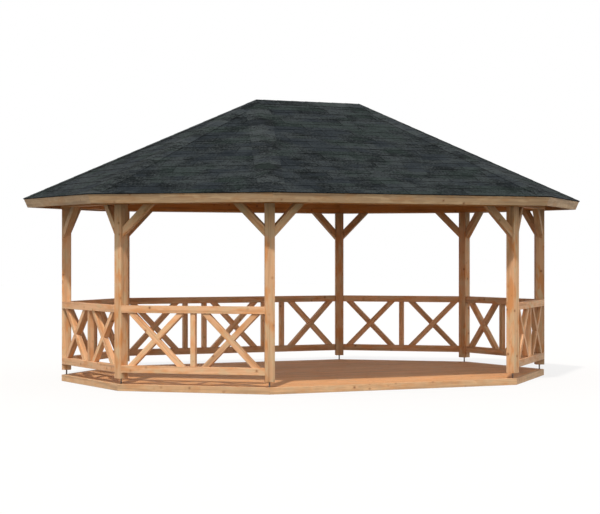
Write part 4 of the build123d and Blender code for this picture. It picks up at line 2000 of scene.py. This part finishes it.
@dataclass
class Studio:
    """Floor, light and camera.

    Attributes:
        position: Place of the camera, at eye height.
        azimuth: Camera's bearing, from the front towards the left.
        lens: Focal length for a frame of sensor width.
        sensor: Width of the sensor.
        shift: Vertical shift of the frame.
        farthest: Greatest distance that the camera sees.
        sun_bearing: Sun's bearing, from the front towards the left.
        sun_height: Sun's height above the horizon.
        sun_strength: Strength of the sun.
        sun_colour: Colour of the sun.
        sun_size: Angle that the sun covers.
        zenith: Strength of the sky overhead.
        horizon: Strength of the sky at the horizon.
        sky_colour: Colour of the sky.
        floor_size: Width of the floor.
        bounce: Lightness of the floor.
        glow: Floor's own light as the camera sees it.
    """

    position: tuple[float, float, float] = (-11.193, -21.327, 1.646)
    azimuth: float = math.radians(27.43)
    lens: float = 110.53
    sensor: float = 36.0
    shift: float = -0.0083
    farthest: float = 200.0
    sun_bearing: float = math.radians(38)
    sun_height: float = math.radians(52.5)
    sun_strength: float = 2.78
    sun_colour: Colour = (1.0, 0.93, 0.86)
    sun_size: float = math.radians(2.5)
    zenith: float = 0.45
    horizon: float = 1.43
    sky_colour: Colour = (1.0, 0.965, 0.915)
    floor_size: float = 120.0
    bounce: float = 0.15
    glow: float = 0.80

    def camera(self) -> None:
        """Places the camera level, at eye height."""
        data = bpy.data.cameras.new("camera")
        data.lens = self.lens
        data.sensor_width = self.sensor
        data.shift_y = self.shift
        data.clip_end = self.farthest
        camera = placed("camera", data)
        camera.location = self.position
        camera.rotation_euler = (math.pi / 2, 0, -self.azimuth)
        bpy.context.scene.camera = camera

    def sun(self) -> None:
        """Sets the key light."""
        data = bpy.data.lights.new("sun", "SUN")
        data.energy = self.sun_strength
        data.color = self.sun_colour
        data.angle = self.sun_size
        lamp = placed("sun", data)
        lamp.rotation_euler = (math.pi / 2 - self.sun_height, 0, -self.sun_bearing)

    @staticmethod
    def mixed(g: Graph, output: str, hidden: Node, seen: Node) -> None:
        """Ends a tree with one shader for direct sight and another for the light that it gives.

        Args:
            g: The tree's graph.
            output: Identifier of the output node's type.
            hidden: Shader that lights the gazebo.
            seen: Shader seen directly, in a mirror or through glass.
        """
        rays = g.add("ShaderNodeLightPath").outputs
        plain = g.math("MAXIMUM", rays["Is Camera Ray"], rays["Is Glossy Ray"])
        plain = g.math("MAXIMUM", plain, rays["Is Transmission Ray"])
        both = g.add("ShaderNodeMixShader", {0: plain, 1: hidden.outputs[0], 2: seen.outputs[0]})
        g.add(output, {"Surface": both.outputs[0]})

    def world(self) -> None:
        """Sets a soft sky, brighter towards the horizon, that is seen as plain white."""
        world = bpy.data.worlds.new("studio")
        g = Graph.cleared(world)
        height = g.split(g.add("ShaderNodeTexCoord").outputs["Generated"])["Z"]
        wires = {0: height, 1: 0.0, 2: 1.0, 3: self.horizon, 4: self.zenith}
        level = g.add("ShaderNodeMapRange", wires).outputs[0]
        sky = g.add("ShaderNodeBackground", {"Color": (*self.sky_colour, 1.0), "Strength": level})
        white = g.add("ShaderNodeBackground", {"Color": WHITE, "Strength": 1.0})
        self.mixed(g, "ShaderNodeOutputWorld", sky, white)
        bpy.context.scene.world = world

    def floor(self) -> None:
        """Lays a plain pale floor that is seen near white, apart from the soft shadow on it."""
        made = bpy.data.materials.new("floor")
        g = Graph.cleared(made)
        ground = g.add("ShaderNodeBsdfDiffuse", {"Color": (*[self.bounce] * 3, 1.0)})
        glow = g.add("ShaderNodeEmission", {"Color": WHITE, "Strength": self.glow})
        pale = g.add("ShaderNodeAddShader", {0: ground.outputs[0], 1: glow.outputs[0]})
        self.mixed(g, "ShaderNodeOutputMaterial", ground, pale)
        half = self.floor_size / 2
        corners = [(-half, -half, 0), (half, -half, 0), (half, half, 0), (-half, half, 0)]
        mesh = bpy.data.meshes.new("floor")
        mesh.from_pydata(corners, [], [(0, 1, 2, 3)])
        mesh.materials.append(made)
        ground_plane = placed("floor", mesh)

    def build(self) -> None:
        """Builds the studio."""
        bpy.context.scene.view_settings.view_transform = "Standard"
        self.camera()
        self.sun()
        self.world()
        self.floor()


def main() -> None:
    """Builds the studio and every sub-assembly."""
    logging.basicConfig(level=logging.INFO, format="%(message)s")
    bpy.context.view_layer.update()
    plan = Plan.read()
    shape = RoofShape(plan)
    finishes = Finishes()
    repeats = Repeats()
    Studio().build()
    Deck(plan, finishes, repeats).build()
    PostFrame(plan, finishes, repeats).build()
    Railings(plan, finishes, repeats).build()
    RoofFrame(plan, finishes, repeats, shape).build()
    RoofSkin(plan, finishes, repeats, shape).build()


if __name__ == "__main__":
    main()
